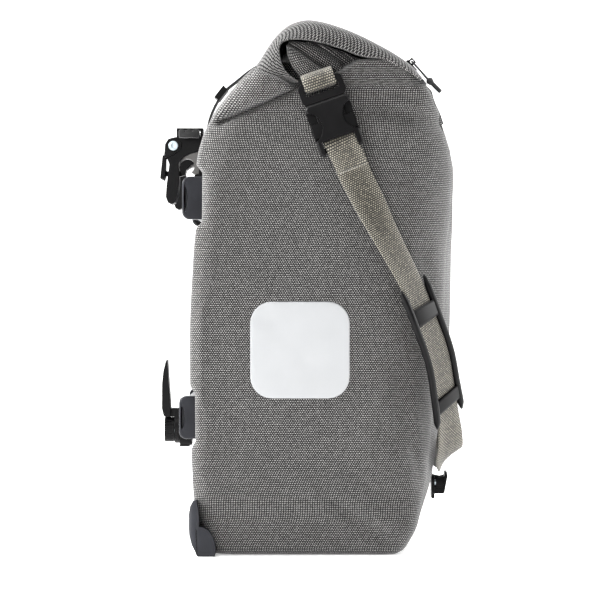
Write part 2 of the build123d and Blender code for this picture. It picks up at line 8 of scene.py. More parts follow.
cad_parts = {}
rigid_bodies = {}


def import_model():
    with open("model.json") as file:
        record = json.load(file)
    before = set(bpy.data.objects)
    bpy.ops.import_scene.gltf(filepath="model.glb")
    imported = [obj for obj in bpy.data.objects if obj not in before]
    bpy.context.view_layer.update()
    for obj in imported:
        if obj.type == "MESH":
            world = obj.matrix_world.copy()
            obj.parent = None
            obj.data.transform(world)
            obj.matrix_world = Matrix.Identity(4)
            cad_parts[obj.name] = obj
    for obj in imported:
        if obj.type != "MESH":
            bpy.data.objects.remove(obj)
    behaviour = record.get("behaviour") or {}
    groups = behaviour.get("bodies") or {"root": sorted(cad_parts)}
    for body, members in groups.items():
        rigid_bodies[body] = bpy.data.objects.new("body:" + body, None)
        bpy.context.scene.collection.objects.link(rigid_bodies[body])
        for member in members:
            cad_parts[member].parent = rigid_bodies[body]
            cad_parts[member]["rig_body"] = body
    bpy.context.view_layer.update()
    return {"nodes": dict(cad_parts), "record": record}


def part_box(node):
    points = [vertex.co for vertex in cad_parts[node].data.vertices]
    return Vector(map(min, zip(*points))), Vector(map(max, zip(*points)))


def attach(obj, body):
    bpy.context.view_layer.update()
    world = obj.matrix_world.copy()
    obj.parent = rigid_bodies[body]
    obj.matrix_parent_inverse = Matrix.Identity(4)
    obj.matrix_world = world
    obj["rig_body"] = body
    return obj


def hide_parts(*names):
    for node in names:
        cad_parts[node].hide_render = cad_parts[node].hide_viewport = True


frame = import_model()
MM = 0.001

# ---- small maths


def lerp(a, b, t):
    return a + (b - a) * t


def smooth(t):
    t = max(0.0, min(1.0, t))
    return t * t * (3.0 - 2.0 * t)


def ramp(x, low, high):
    return smooth((x - low) / (high - low))


def curve_through(rows, x):
    """A smooth value at x through (x, value, value, ...) rows: monotone cubic pieces."""
    if x <= rows[0][0]:
        return list(rows[0][1:])
    if x >= rows[-1][0]:
        return list(rows[-1][1:])
    i = max(k for k in range(len(rows) - 1) if rows[k][0] <= x)
    x0, x1 = rows[i][0], rows[i + 1][0]
    t = (x - x0) / (x1 - x0)
    out = []
    for c in range(1, len(rows[0])):
        def slope(k):
            if k <= 0 or k >= len(rows) - 1:
                a, b = max(k - 1, 0), min(k + 1, len(rows) - 1)
                return (rows[b][c] - rows[a][c]) / (rows[b][0] - rows[a][0])
            left = (rows[k][c] - rows[k - 1][c]) / (rows[k][0] - rows[k - 1][0])
            right = (rows[k + 1][c] - rows[k][c]) / (rows[k + 1][0] - rows[k][0])
            return 0.0 if left * right <= 0 else 2 * left * right / (left + right)
        h = x1 - x0
        m0, m1 = slope(i) * h, slope(i + 1) * h
        y0, y1 = rows[i][c], rows[i + 1][c]
        t2, t3 = t * t, t * t * t
        out.append((2 * t3 - 3 * t2 + 1) * y0 + (t3 - 2 * t2 + t) * m0
                   + (3 * t2 - 2 * t3) * y1 + (t3 - t2) * m1)
    return out


def catmull(points, per_run):
    """Points along a Catmull-Rom curve through the given ones."""
    pts = [Vector(p) for p in points]
    pts = [pts[0] * 2 - pts[1]] + pts + [pts[-1] * 2 - pts[-2]]
    out = []
    for i in range(1, len(pts) - 2):
        a, b, c, d = pts[i - 1:i + 3]
        for k in range(per_run):
            t = k / per_run
            out.append(0.5 * ((2 * b) + (c - a) * t + (2 * a - 5 * b + 4 * c - d) * t * t
                              + (3 * b - a - 3 * c + d) * t ** 3))
    out.append(pts[-2])
    return out


def value_at(rows, x):
    """The smooth value at x through (x, value) rows."""
    return curve_through(rows, x)[0]


def curve_in_xz(rows, per_run):
    """A smooth curve through (x, z) rows in the plane y = 0."""
    return catmull([(x, 0, z) for x, z in rows], per_run)


def side_name(side):
    return "near" if side < 0 else "far"


def wrinkle(p, size, seed):
    """Smooth noise from -1 to 1 at a point in millimetres."""
    return noise.noise(Vector((p[0] / size + seed, p[1] / size - seed * 0.7, p[2] / size + seed * 1.3)))


# ---- materials


def new_material(name):
    mat = bpy.data.materials.new(name)
    mat.use_nodes = True
    tree = mat.node_tree
    shader = tree.nodes["Principled BSDF"]
    return mat, tree, shader


def set_inputs(n, values):
    for key, value in values.items():
        n.inputs[key].default_value = value


def node(tree, kind, inputs=None, **props):
    n = tree.nodes.new(kind)
    for key, value in props.items():
        setattr(n, key, value)
    set_inputs(n, inputs or {})
    return n


def link(tree, a, b):
    tree.links.new(a, b)


def math_node(tree, op, *values):
    n = tree.nodes.new("ShaderNodeMath")
    n.operation = op
    for i, v in enumerate(values):
        if isinstance(v, (int, float)):
            n.inputs[i].default_value = v
        else:
            tree.links.new(v, n.inputs[i])
    return n.outputs[0]


def mix_colour(tree, factor, a, b):
    n = tree.nodes.new("ShaderNodeMix")
    n.data_type = "RGBA"
    for sock, v in ((n.inputs["Factor"], factor), (n.inputs[6], a), (n.inputs[7], b)):
        if isinstance(v, tuple):
            sock.default_value = (*v, 1.0)
        else:
            tree.links.new(v, sock)
    return n.outputs[2]


def ramp_node(tree, source, stops):
    n = tree.nodes.new("ShaderNodeValToRGB")
    tree.links.new(source, n.inputs[0])
    while len(n.color_ramp.elements) < len(stops):
        n.color_ramp.elements.new(0.5)
    for e, (pos, value) in zip(n.color_ramp.elements, stops):
        e.position = pos
        e.color = (value, value, value, 1)
    return n.outputs[0]


def uv_cells(tree, cell):
    """The UV map is in millimetres; this divides it into cells of that size."""
    uv = node(tree, "ShaderNodeUVMap", uv_map="mm")
    mapping = node(tree, "ShaderNodeMapping", {"Scale": (1.0 / cell, 1.0 / cell, 1.0)})
    link(tree, uv.outputs[0], mapping.inputs[0])
    return mapping.outputs[0]


def bump(tree, shader, height, strength, distance):
    n = node(tree, "ShaderNodeBump", {"Strength": strength, "Distance": distance})
    link(tree, height, n.inputs["Height"])
    link(tree, n.outputs[0], shader.inputs["Normal"])


def pattern(tree, kind, source, inputs, **props):
    """A texture node of that kind, laid over the source coordinates."""
    n = node(tree, "ShaderNodeTex" + kind, inputs, **props)
    link(tree, source, n.inputs["Vector"])
    return n


def object_space(tree):
    return node(tree, "ShaderNodeTexCoord").outputs["Object"]


WEAVE_CELL = 1.65          # millimetres from one yarn float to the next
YARN_DULL, YARN_PALE, YARN_FLECK = (0.265, 0.258, 0.248), (0.475, 0.464, 0.449), (0.10, 0.098, 0.096)
GROUND_DARK, GROUND_LIGHT = (0.006, 0.006, 0.007), (0.014, 0.0135, 0.014)


def melange_fabric():
    """Two-tone basket weave: pale yarn floats, staggered row by row, on a near-black ground."""
    mat, tree, shader = new_material("melange_fabric")
    uv = uv_cells(tree, WEAVE_CELL)
    wobble = pattern(tree, "Noise", uv, {"Scale": 0.35, "Detail": 2.0})
    off = node(tree, "ShaderNodeVectorMath", operation="SUBTRACT")
    link(tree, wobble.outputs["Color"], off.inputs[0])
    off.inputs[1].default_value = (0.5, 0.5, 0.5)
    small = node(tree, "ShaderNodeVectorMath", {"Scale": 0.35}, operation="SCALE")
    link(tree, off.outputs[0], small.inputs[0])
    moved = node(tree, "ShaderNodeVectorMath", operation="ADD")
    link(tree, uv, moved.inputs[0])
    link(tree, small.outputs[0], moved.inputs[1])
    brick = pattern(tree, "Brick", moved.outputs[0], {
        "Scale": 1.0, "Mortar Size": 0.275, "Mortar Smooth": 0.15, "Bias": 0.0, "Brick Width": 1.15,
        "Row Height": 0.86, "Color1": (0.0, 0.0, 0.0, 1), "Color2": (1.0, 1.0, 1.0, 1),
        "Mortar": (0.5, 0.5, 0.5, 1)}, offset=0.5)
    gap = brick.outputs["Fac"]
    tone = mix_colour(tree, brick.outputs["Color"], YARN_DULL, YARN_PALE)
    fibre = pattern(tree, "Noise", uv, {"Scale": 6.0, "Detail": 3.0})
    tone = mix_colour(tree, math_node(tree, "MULTIPLY", fibre.outputs["Fac"], 0.35), tone, YARN_FLECK)
    patch = pattern(tree, "Noise", uv, {"Scale": 0.03, "Detail": 3.0})
    ground = mix_colour(tree, patch.outputs["Fac"], GROUND_DARK, GROUND_LIGHT)
    link(tree, mix_colour(tree, gap, tone, ground), shader.inputs["Base Color"])
    set_inputs(shader, {"Roughness": 0.82, "Sheen Weight": 0.25, "Sheen Roughness": 0.45,
                        "Specular IOR Level": 0.2})
    bump(tree, shader, math_node(tree, "SUBTRACT", 1.0, gap), 0.6, 0.0004)
    return mat


def webbing(name, pale, dark, edge, rib):
    """Woven strap: staggered floats on a dark ground and a paler selvedge at the edges."""
    mat, tree, shader = new_material(name)
    brick = pattern(tree, "Brick", uv_cells(tree, rib), {
        "Scale": 1.0, "Mortar Size": 0.21, "Mortar Smooth": 0.25, "Brick Width": 1.0, "Row Height": 0.8,
        "Color1": (0.2, 0.2, 0.2, 1), "Color2": (0.9, 0.9, 0.9, 1)}, offset=0.5)
    thread_tone = mix_colour(tree, brick.outputs["Color"], dark, pale)
    selvedge = node(tree, "ShaderNodeAttribute", attribute_name="edge")
    share = math_node(tree, "MULTIPLY", selvedge.outputs["Fac"], 0.8)
    thread_tone = mix_colour(tree, share, thread_tone, edge)
    gap = brick.outputs["Fac"]
    ground = tuple(c * 0.12 for c in dark)
    link(tree, mix_colour(tree, gap, thread_tone, ground), shader.inputs["Base Color"])
    set_inputs(shader, {"Roughness": 0.7, "Sheen Weight": 0.2})
    bump(tree, shader, math_node(tree, "SUBTRACT", 1.0, gap), 0.6, 0.0003)
    return mat


def moulded_plastic(name, colour, light, rough, spec=0.5):
    """Moulded nylon: a fine spark-eroded grain, slightly uneven gloss and paler rubbed patches."""
    mat, tree, shader = new_material(name)
    where = object_space(tree)
    cloud = pattern(tree, "Noise", where, {"Scale": 60.0, "Detail": 4.0})
    fine = pattern(tree, "Noise", where, {"Scale": 2200.0, "Detail": 2.0})
    share = ramp_node(tree, cloud.outputs["Fac"], [(0.35, 0.0), (0.75, 1.0)])
    link(tree, mix_colour(tree, share, colour, light), shader.inputs["Base Color"])
    gloss = math_node(tree, "MULTIPLY_ADD", cloud.outputs["Fac"], 0.18, rough - 0.09)
    link(tree, gloss, shader.inputs["Roughness"])
    shader.inputs["Specular IOR Level"].default_value = spec
    bump(tree, shader, fine.outputs["Fac"], 0.35, 0.00002)
    return mat


def metal(name, colour, rough, stretch):
    """Turned or brushed metal with fine lines."""
    mat, tree, shader = new_material(name)
    mapping = node(tree, "ShaderNodeMapping", {"Scale": stretch})
    link(tree, object_space(tree), mapping.inputs[0])
    lines = pattern(tree, "Noise", mapping.outputs[0], {"Scale": 1.0, "Detail": 4.0})
    dark = tuple(c * 0.7 for c in colour)
    link(tree, mix_colour(tree, lines.outputs["Fac"], dark, colour), shader.inputs["Base Color"])
    shader.inputs["Metallic"].default_value = 1.0
    gloss = math_node(tree, "MULTIPLY_ADD", lines.outputs["Fac"], 0.2, rough - 0.1)
    link(tree, gloss, shader.inputs["Roughness"])
    bump(tree, shader, lines.outputs["Fac"], 0.25, 0.00002)
    return mat


def reflective_film():
    """Silver-white film with a faint honeycomb of sealed cells."""
    mat, tree, shader = new_material("reflective_film")
    uv = uv_cells(tree, 3.2)
    cells = pattern(tree, "Voronoi", uv, {"Scale": 1.0, "Randomness": 0.15}, feature="DISTANCE_TO_EDGE")
    line = ramp_node(tree, cells.outputs["Distance"], [(0.02, 1.0), (0.07, 0.0)])
    cloud = pattern(tree, "Noise", uv, {"Scale": 0.08, "Detail": 3.0})
    base = mix_colour(tree, cloud.outputs["Fac"], (0.325, 0.333, 0.341), (0.395, 0.40, 0.408))
    link(tree, mix_colour(tree, math_node(tree, "MULTIPLY", line, 0.35), base, (0.36, 0.37, 0.39)),
         shader.inputs["Base Color"])
    set_inputs(shader, {"Roughness": 0.38, "Metallic": 0.15, "Coat Weight": 0.25, "Coat Roughness": 0.2})
    bump(tree, shader, line, 0.15, 0.0001)
    return mat


def spun(name, colour, shade, wave_inputs, rough, strength, depth):
    """Cord or thread: slanted bands of its strands."""
    mat, tree, shader = new_material(name)
    wave = pattern(tree, "Wave", object_space(tree), wave_inputs, bands_direction="DIAGONAL")
    link(tree, mix_colour(tree, wave.outputs["Fac"], shade, colour), shader.inputs["Base Color"])
    shader.inputs["Roughness"].default_value = rough
    bump(tree, shader, wave.outputs["Fac"], strength, depth)
    return mat


def thread(name, colour, shade):
    return spun(name, colour, shade, {"Scale": 1500.0, "Distortion": 0.5}, 0.6, 0.5, 0.0001)


MAT = {
    "thread_pale": thread("thread_pale", (0.62, 0.61, 0.57), (0.35, 0.34, 0.31)),
    "thread_dark": thread("thread_dark", (0.10, 0.10, 0.10), (0.04, 0.04, 0.04)),
    "melange_fabric": melange_fabric(),
    "olive_webbing": webbing("olive_webbing", (0.34, 0.31, 0.235), (0.05, 0.045, 0.034),
                             (0.36, 0.335, 0.27), 2.0),
    "black_webbing": webbing("black_webbing", (0.035, 0.035, 0.038), (0.015, 0.015, 0.017),
                             (0.06, 0.06, 0.065), 1.3),
    "black_plastic": moulded_plastic(
        "black_plastic", (0.0022, 0.0021, 0.0024), (0.0045, 0.0043, 0.0047), 0.36, spec=0.12),
    "charcoal_plastic": moulded_plastic(
        "charcoal_plastic", (0.0075, 0.008, 0.0115), (0.0135, 0.0145, 0.0195), 0.33, spec=0.25),
    "hook_liner": moulded_plastic("hook_liner", (0.09, 0.085, 0.08), (0.13, 0.125, 0.12), 0.5),
    "rail_aluminium": metal("rail_aluminium", (0.10, 0.105, 0.115), 0.38, (900.0, 30.0, 900.0)),
    "screw_steel": metal("screw_steel", (0.58, 0.66, 0.70), 0.3, (900.0, 900.0, 900.0)),
    "reflective_film": reflective_film(),
    "zip_cord": spun("braided_cord", (0.05, 0.05, 0.052), (0.012, 0.012, 0.013),
                     {"Scale": 900.0, "Distortion": 1.5, "Detail": 1.0}, 0.75, 0.6, 0.0002),
    "stiffener_plastic": moulded_plastic("stiffener_plastic", (0.03, 0.03, 0.03), (0.05, 0.05, 0.05), 0.5),
    "pocket_fabric": webbing("pocket_fabric", (0.05, 0.05, 0.055), (0.025, 0.025, 0.03),
                             (0.05, 0.05, 0.055), 1.0),
    "zip_coil": moulded_plastic("zip_coil", (0.012, 0.012, 0.013), (0.03, 0.03, 0.032), 0.35),
}

# ---- mesh building


def in_scene(name, data):
    obj = bpy.data.objects.new(name, data)
    bpy.context.scene.collection.objects.link(obj)
    return obj


def piece(name, verts, faces, body, slot, uvs, edge=None, replaces=(), material=None):
    """A mesh from millimetre vertices. uvs is one (u, v) per vertex or per face corner, in millimetres."""
    mesh = bpy.data.meshes.new(name)
    mesh.from_pydata([(x * MM, y * MM, z * MM) for x, y, z in verts], [], faces)
    layer = mesh.uv_layers.new(name="mm")
    per_corner = len(uvs) != len(verts)
    for poly in mesh.polygons:
        poly.use_smooth = True
        for li in poly.loop_indices:
            key = li if per_corner else mesh.loops[li].vertex_index
            layer.data[li].uv = uvs[key]
    if edge is not None:
        attribute = mesh.attributes.new("edge", "FLOAT", "POINT")
        attribute.data.foreach_set("value", edge)
    mesh.materials.append(MAT[material or slot])
    mesh.validate()
    obj = in_scene(name, mesh)
    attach(obj, body)
    if replaces:
        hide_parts(*replaces)
    return obj


def grid_faces(rows, cols, closed=False, start=0, flip=False):
    faces = []
    for r in range(rows - 1):
        for c in range(cols if closed else cols - 1):
            d = (c + 1) % cols
            face = (start + r * cols + c, start + r * cols + d,
                    start + (r + 1) * cols + d, start + (r + 1) * cols + c)
            faces.append(face[::-1] if flip else face)
    return faces


def tube_faces(rings, n, start=0):
    """Faces of a tube made of rings of n points, closed at both ends."""
    last = start + (rings - 1) * n
    return grid_faces(rings, n, closed=True, start=start) + [
        tuple(range(start, start + n))[::-1], tuple(range(last, last + n))]


def apply_modifiers(obj):
    dg = bpy.context.evaluated_depsgraph_get()
    mesh = bpy.data.meshes.new_from_object(obj.evaluated_get(dg), depsgraph=dg)
    obj.modifiers.clear()
    obj.data = mesh


def add_modifier(obj, kind, **props):
    m = obj.modifiers.new(kind.lower(), kind)
    for key, value in props.items():
        setattr(m, key, value)
    return m


def subdivide(obj):
    add_modifier(obj, "SUBSURF", levels=1, render_levels=1)


def round_edges(obj, width, angle, **props):
    """Rounds edges sharper than the angle (degrees) by the width (mm), and applies every modifier."""
    add_modifier(obj, "BEVEL", width=width * MM, segments=2, limit_method="ANGLE",
                 angle_limit=math.radians(angle), **props)
    apply_modifiers(obj)


def softened(node_name, width, slot):
    """A CAD node with its sharp edges rounded, standing for the node."""
    source = frame["nodes"][node_name]
    mesh = source.data.copy()
    mesh.name = node_name + ".soft"
    bm = bmesh.new()
    bm.from_mesh(mesh)
    bmesh.ops.remove_doubles(bm, verts=bm.verts, dist=0.00001)
    bmesh.ops.dissolve_limit(bm, angle_limit=math.radians(1.0), verts=bm.verts, edges=bm.edges)
    bm.to_mesh(mesh)
    bm.free()
    obj = in_scene(node_name + ".soft", mesh)
    mesh.materials.clear()
    mesh.materials.append(MAT[slot])
    round_edges(obj, width, 35.0, use_clamp_overlap=True, miter_outer="MITER_ARC")
    for poly in obj.data.polygons:
        poly.use_smooth = True
    add_modifier(obj, "WEIGHTED_NORMAL", keep_sharp=True, weight=80)
    apply_modifiers(obj)
    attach(obj, source["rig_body"])
    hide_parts(node_name)


# ---- the fabric body

# Millimetres: height, rack-side x, outer x in the middle, half width.
LEVELS = [
    (0.0, -80.0, 67.0, 97.0), (3.0, -86.0, 72.0, 103.5), (10.0, -89.5, 77.5, 109.0),
    (24.0, -91.0, 86.5, 112.5), (60.0, -92.0, 98.5, 117.0), (110.0, -92.0, 104.5, 122.5),
    (180.0, -91.5, 112.5, 130.5), (240.0, -88.0, 113.8, 138.5), (264.0, -85.6, 114.5, 142.0),
    (302.0, -85.3, 113.5, 147.5), (325.0, -82.5, 108.0, 151.0), (343.0, -75.2, 102.5, 154.0),
    (365.0, -61.0, 92.0, 156.5), (380.0, -48.5, 79.0, 157.5), (390.0, -36.0, 64.0, 157.5),
]
# Millimetres, by height: how far the outer face falls back at its sides, how far the padding stands
# out at the back's sides, and the radii of the outer and the rack-side corners.
FACE_CROWN = [(0, 0.0), (20, 1.0), (60, 5.0), (120, 8.0), (240, 8.0), (265, 5.0), (302, 2.0), (343, 0.5),
              (390, 0.0)]
EDGE_PUFF = [(0, 0.0), (20, 1.0), (60, 3.0), (120, 4.5), (180, 5.0), (240, 5.6), (300, 6.0), (343, 4.5),
             (365, 3.0), (390, 0)]
OUTER_CORNER = [(0, 10.0), (24, 18.0), (60, 38.0), (120, 50.0), (240, 56.0), (300, 52.0), (343, 32.0),
                (365, 15.0), (390, 6.0)]
RACK_CORNER = [(0, 22.0), (24, 24.0), (50, 12.0), (80, 6.5), (240, 6.5), (290, 12.0), (343, 20.0),
               (390, 12.0)]
BACK_PUFF_EDGE = 9.0       # the back's padding ends this far from the side panel's fold
BACK_PRESSED = 0.85        # how much of the padding the rails press flat
# The padding is pressed flat behind both rails.
RAIL_BANDS = [tuple(corner[2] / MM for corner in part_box(rail)) for rail in ("lower_rail", "upper_rail")]
SIDE_BULGE = 2.2
BASE_MIDDLE_X = -9.0
FINE_FROM_Z = 332.0        # the mesh is finer above this height, where the folds are
SIDE_COUNTS = (36, 9, 44, 22, 24)      # back, rack corner, side panel, outer corner, outer face


def half_ring(z):
    """Points of the near half of a section, from the back's middle round to the outer face's middle."""
    back, front, half = sizes = curve_through(LEVELS, z)
    rb, rf = value_at(RACK_CORNER, z), value_at(OUTER_CORNER, z)
    n_back, n_rb, n_side, n_rf, n_front = SIDE_COUNTS
    points = [(back, -(half - rb) * i / n_back, "back") for i in range(n_back)]
    for i in range(n_rb):
        a = math.pi / 2 * i / n_rb
        points.append((back + rb - rb * math.cos(a), -(half - rb) - rb * math.sin(a), "edge"))
    points += [(lerp(back + rb, front - rf, i / n_side), -half, "side") for i in range(n_side)]
    for i in range(n_rf):
        a = math.pi / 2 * i / n_rf
        points.append((front - rf + rf * math.sin(a), -(half - rf) - rf * math.cos(a), "corner"))
    points += [(front, -(half - rf) * (1 - i / n_front), "front") for i in range(n_front + 1)]
    return points, sizes


# Folds in the fabric: start and end in x and z on the side panel, width, depth. Negative is a ridge.
FOLDS = [
    ((12, 46), (62, 8), 5.0, 3.0), ((34, 42), (80, 16), 5.0, -2.4), ((28, 62), (86, 38), 8.0, 2.0),
    ((-4, 30), (40, 4), 8.0, 1.4), ((64, 160), (94, 56), 8.0, 2.6), ((80, 126), (96, 58), 5.0, -2.0),
    ((50, 100), (92, 84), 9.0, 1.3), ((38, 352), (112, 338), 6.5, 4.2), ((46, 341), (110, 322), 6.5, -2.6),
    ((60, 364), (100, 354), 4.0, 2.0), ((-40, 70), (40, 96), 22.0, 1.2), ((-66, 262), (50, 306), 26.0, 1.5),
    ((66, 304), (112, 282), 8.0, 1.6), ((88, 246), (108, 168), 7.0, 1.6), ((78, 330), (70, 200), 2.2, 0.7),
    ((-80, 200), (-60, 60), 12.0, 1.0), ((-20, 240), (30, 210), 30.0, 0.8), ((14, 372), (60, 356), 9.0, 1.4),
]


def fold_depth(x, z):
    total = 0.0
    for (x0, z0), (x1, z1), width, depth in FOLDS:
        run = Vector((x1 - x0, z1 - z0))
        t = Vector((x - x0, z - z0)).dot(run) / run.length_squared
        d = abs((x - x0) * run.y - (z - z0) * run.x) / run.length
        fade = ramp(t, -0.12, 0.18) * ramp(1 - t, -0.12, 0.18)
        total += depth * fade * math.exp(-(d / width) ** 2)
    return total


CREASE_A = Vector((-74.0, 341.0))      # where the rack-side lobe's crease starts, in x and z
CREASE_B = Vector((-8.0, 369.5))       # and where it runs in under the buckle
MOUTH_DEPTH = 34.0         # how far the panel turns in


# Where the side panel turns in under the roll, by x.
PANEL_TOP = [(-90, 388.0), (-58, 385.0), (-45, 381.0), (-28, 374.5), (-12, 367.0), (8, 373.0), (20, 378.5),
             (38, 387.5), (52, 389.5), (70, 392.0), (90, 392.0)]


def side_offset(x, z):
    """How far the side panel moves out (positive) or in, in Y, round the gusset folds."""
    run = CREASE_B - CREASE_A
    t = Vector((x - CREASE_A.x, z - CREASE_A.y)).dot(run) / run.length_squared
    above = ((z - CREASE_A.y) * run.x - (x - CREASE_A.x) * run.y) / run.length
    out = 0.0
    if -0.3 < t < 1.2:
        fade = ramp(t, -0.1, 0.02) * ramp(1.2 - t, 0.0, 0.35)
        groove = -11.5 * math.exp(-((above + 0.8) / 2.2) ** 2) * (1 - 0.4 * t)
        out += fade * (groove - 2.0 * ramp(above, 0.0, 3.0) * (1 - ramp(above, 10, 20)))
    return out - MOUTH_DEPTH * ramp(z - value_at(PANEL_TOP, x), -1.5, 9.0)


def body_point(x, y, z, part, sizes):
    """A point of the plain section with the padding, folds, creases and wrinkles added."""
    back, front, half = sizes
    side = -1.0 if y < 0 else 1.0
    if part in ("back", "edge"):
        puff = value_at(EDGE_PUFF, z) * ramp(abs(y), half - 42, half - 24)
        behind_rail = max(ramp(z, z0 - 9, z0 - 3) * (1 - ramp(z, z1 + 3, z1 + 9)) for z0, z1 in RAIL_BANDS)
        x -= puff * (1 - ramp(abs(y), half - BACK_PUFF_EDGE, half)) * (1 - BACK_PRESSED * behind_rail)
        if part == "back":
            return x + 0.5 * wrinkle((x, y, z), 60, 3.0), y, z
        y += side * side_offset(x, z) * ramp(x - back, -2.0, 8.0)
        return x, y + side * 0.4 * wrinkle((x, y, z), 30, 1.0), z
    crown = value_at(FACE_CROWN, z)
    if part == "front":
        belly = ramp(z, 20, 120) * (1 - ramp(z, 330, 385))
        x -= crown * (abs(y) / (half - 50.0)) ** 2
        x += 1.2 * belly * math.cos(math.pi * y / (2 * half)) + 0.9 * wrinkle((x, y, z), 55, 7.0)
        if side < 0:
            x -= 0.5 * fold_depth(112, z) * ramp(abs(y), 30, half - 40)
        return x, y, z

    def bulge(x):
        return SIDE_BULGE * math.sin(math.pi * (x - back) / (front - back)) * ramp(z, 10, 120)
    depth = fold_depth(x, z)
    rough = 0.7 * wrinkle((x, y, z), 48, 5.0 if side < 0 else 11.0) + 0.25 * wrinkle((x, y, z), 17, 2.0)
    out = side_offset(x, z)
    if part == "side":
        out = out + bulge(x) - depth + rough
        return x, y + side * (out if side < 0 else out * 0.97), z
    share = (abs(y) - (half - 60)) / 60.0
    a = math.atan2(max(x - (front - 50), 0.0), 50.0)
    corner = value_at(OUTER_CORNER, z)
    turn = math.asin(max(min((x - (front - corner)) / corner, 1.0), 0.0)) / (math.pi / 2)
    x -= crown * (((half - corner) / (half - 50.0)) ** 2) * ramp(turn, 0, 1)
    x += (rough - depth) * math.sin(a)
    out = (rough - depth) * math.cos(a) + out * ramp(share, 0.2, 0.9) + bulge(x) * ramp(share, 0.1, 1)
    return x, y + side * out, z


def fabric_body():
    """One shell: rings from the base up to the roll, closed underneath. U starts at the near panel's fold."""
    heights = [0.0, 1.2, 3.0, 6.0, 10.0, 15.0] + [20.0 + 3.2 * i for i in range(95)]
    heights = [z for z in heights if z < FINE_FROM_Z] + [FINE_FROM_Z + 1.4 * i for i in range(42)]
    verts, uvs = [], []
    for z in heights:
        near, sizes = half_ring(z)
        ring = [body_point(x, y, z, part, sizes) for x, y, part in near]
        ring += [body_point(x, -y, z, part, sizes) for x, y, part in near[1:-1]][::-1]
        steps = [math.dist(a[:2], b[:2]) for a, b in zip(ring, ring[1:])]
        along = 0.0
        start_u = sum(steps[:SIDE_COUNTS[0] + SIDE_COUNTS[1]])
        for p, step in zip(ring, steps + [0.0]):
            verts.append(p)
            uvs.append((along - start_u, z))
            along += step
    cols = len(ring)
    corners = []            # each face with the UVs of its corners
    for face in grid_faces(len(heights), cols, closed=True):
        us = [uvs[i][0] for i in face]
        top = max(us)
        wrap = top - min(us) > 200
        corners.append((face, [(top + 2.0 if wrap and u < 0 and top - u > 200 else u, v)
                               for u, v in (uvs[i] for i in face)]))
    start = len(verts)
    verts += [(BASE_MIDDLE_X + (x - BASE_MIDDLE_X) * s, y * s, 0.0) for s in (0.86, 0.6, 0.3)
              for x, y, z in verts[:cols]] + [(BASE_MIDDLE_X, 0.0, 0.0)]
    ring_starts = [0, start, start + cols, start + 2 * cols]
    under = [(a + (c + 1) % cols, a + c, b + c, b + (c + 1) % cols)
             for a, b in zip(ring_starts, ring_starts[1:]) for c in range(cols)]
    last = ring_starts[-1]
    under += [(last + (c + 1) % cols, last + c, len(verts) - 1) for c in range(cols)]
    corners += [(face, [verts[i][:2] for i in face]) for face in under]
    piece("fabric_body", verts, [face[::-1] for face, uv in corners], "bag", "melange_fabric",
          uvs=[pair for face, uv in corners for pair in uv[::-1]], replaces=("bag_body",))


def near_surface(x, z, side=-1):
    """A side panel's point at x and z and its outward way, both as on the near side."""
    back, front, half = sizes = curve_through(LEVELS, z)
    rb = value_at(RACK_CORNER, z)
    share = (back + rb - x) / rb
    if share <= 0:
        px, py, pz = body_point(x, side * half, z, "side", sizes)
        return Vector((px, side * -py, pz)), Vector((0, -1, 0))
    over = max(share - 1.0, 0.0) * rb
    a = math.acos(min(share, 1.0))
    px, py, pz = body_point(back + rb - rb * math.cos(a), -(half - rb) - rb * math.sin(a), z, "edge", sizes)
    return Vector((px, py + over, pz)), Vector((-math.cos(a), -math.sin(a), 0))


FILM_LIFT = 0.5


def reflector(side):
    """Heat-sealed film: a square with rounded corners, following the panel, with a pressed rim."""
    low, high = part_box("reflector_near")
    x0, x1, z0, z1 = low[0] / MM, high[0] / MM, low[2] / MM, high[2] / MM
    corners = rounded_outline(x0, x1, z0, z1, 17.0, 7)
    outline = []
    for a, b in zip(corners, corners[1:] + corners[:1]):
        steps = max(1, round(math.dist(a, b) / 3.0))
        outline += [(lerp(a[0], b[0], k / steps), lerp(a[1], b[1], k / steps)) for k in range(steps)]
    cx, cz = (x0 + x1) / 2, (z0 + z1) / 2
    verts, uvs = [], []

    def add(x, z, lift):
        p = near_surface(x, z, side)[0]
        verts.append((p.x, side * -(p.y - lift), p.z))
        uvs.append((x, z))
    rings = [(1.0, -0.4), (1.0, 0.15), (0.992, 0.42), (0.975, FILM_LIFT)]
    rings += [(t, FILM_LIFT) for t in (0.9, 0.75, 0.6, 0.45, 0.3, 0.15)]
    for t, lift in rings:
        for x, z in outline:
            add(cx + (x - cx) * t, cz + (z - cz) * t, lift)
    add(cx, cz, FILM_LIFT)
    n = len(outline)
    faces = grid_faces(len(rings), n, closed=True, flip=side > 0)
    last = (len(rings) - 1) * n
    for i in range(n):
        tri = (last + i, last + (i + 1) % n, len(verts) - 1)
        faces.append(tri[::-1] if side > 0 else tri)
    piece("reflector_film_" + side_name(side), verts, faces, "bag", "reflective_film", uvs,
          replaces=("reflector_" + side_name(side),))


LOBE_COLS = 46
LOBE_HEIGHTS = [0.0, 0.25, 0.7, 1.5, 2.6, 4.0, 6.0, 8.5, 11.5, 15.0, 19.0, 23.0, 28.0, 33.0, 38.0]
LOBE_PROUD = [(0, -2.6), (0.25, 1.6), (0.7, 3.8), (1.5, 5.6), (2.6, 6.9), (4.0, 7.8), (8.5, 8.4),
              (15.0, 7.0), (23.0, 4.4), (33.0, 1.6), (38.0, -1.5)]      # height above the crease, how far out


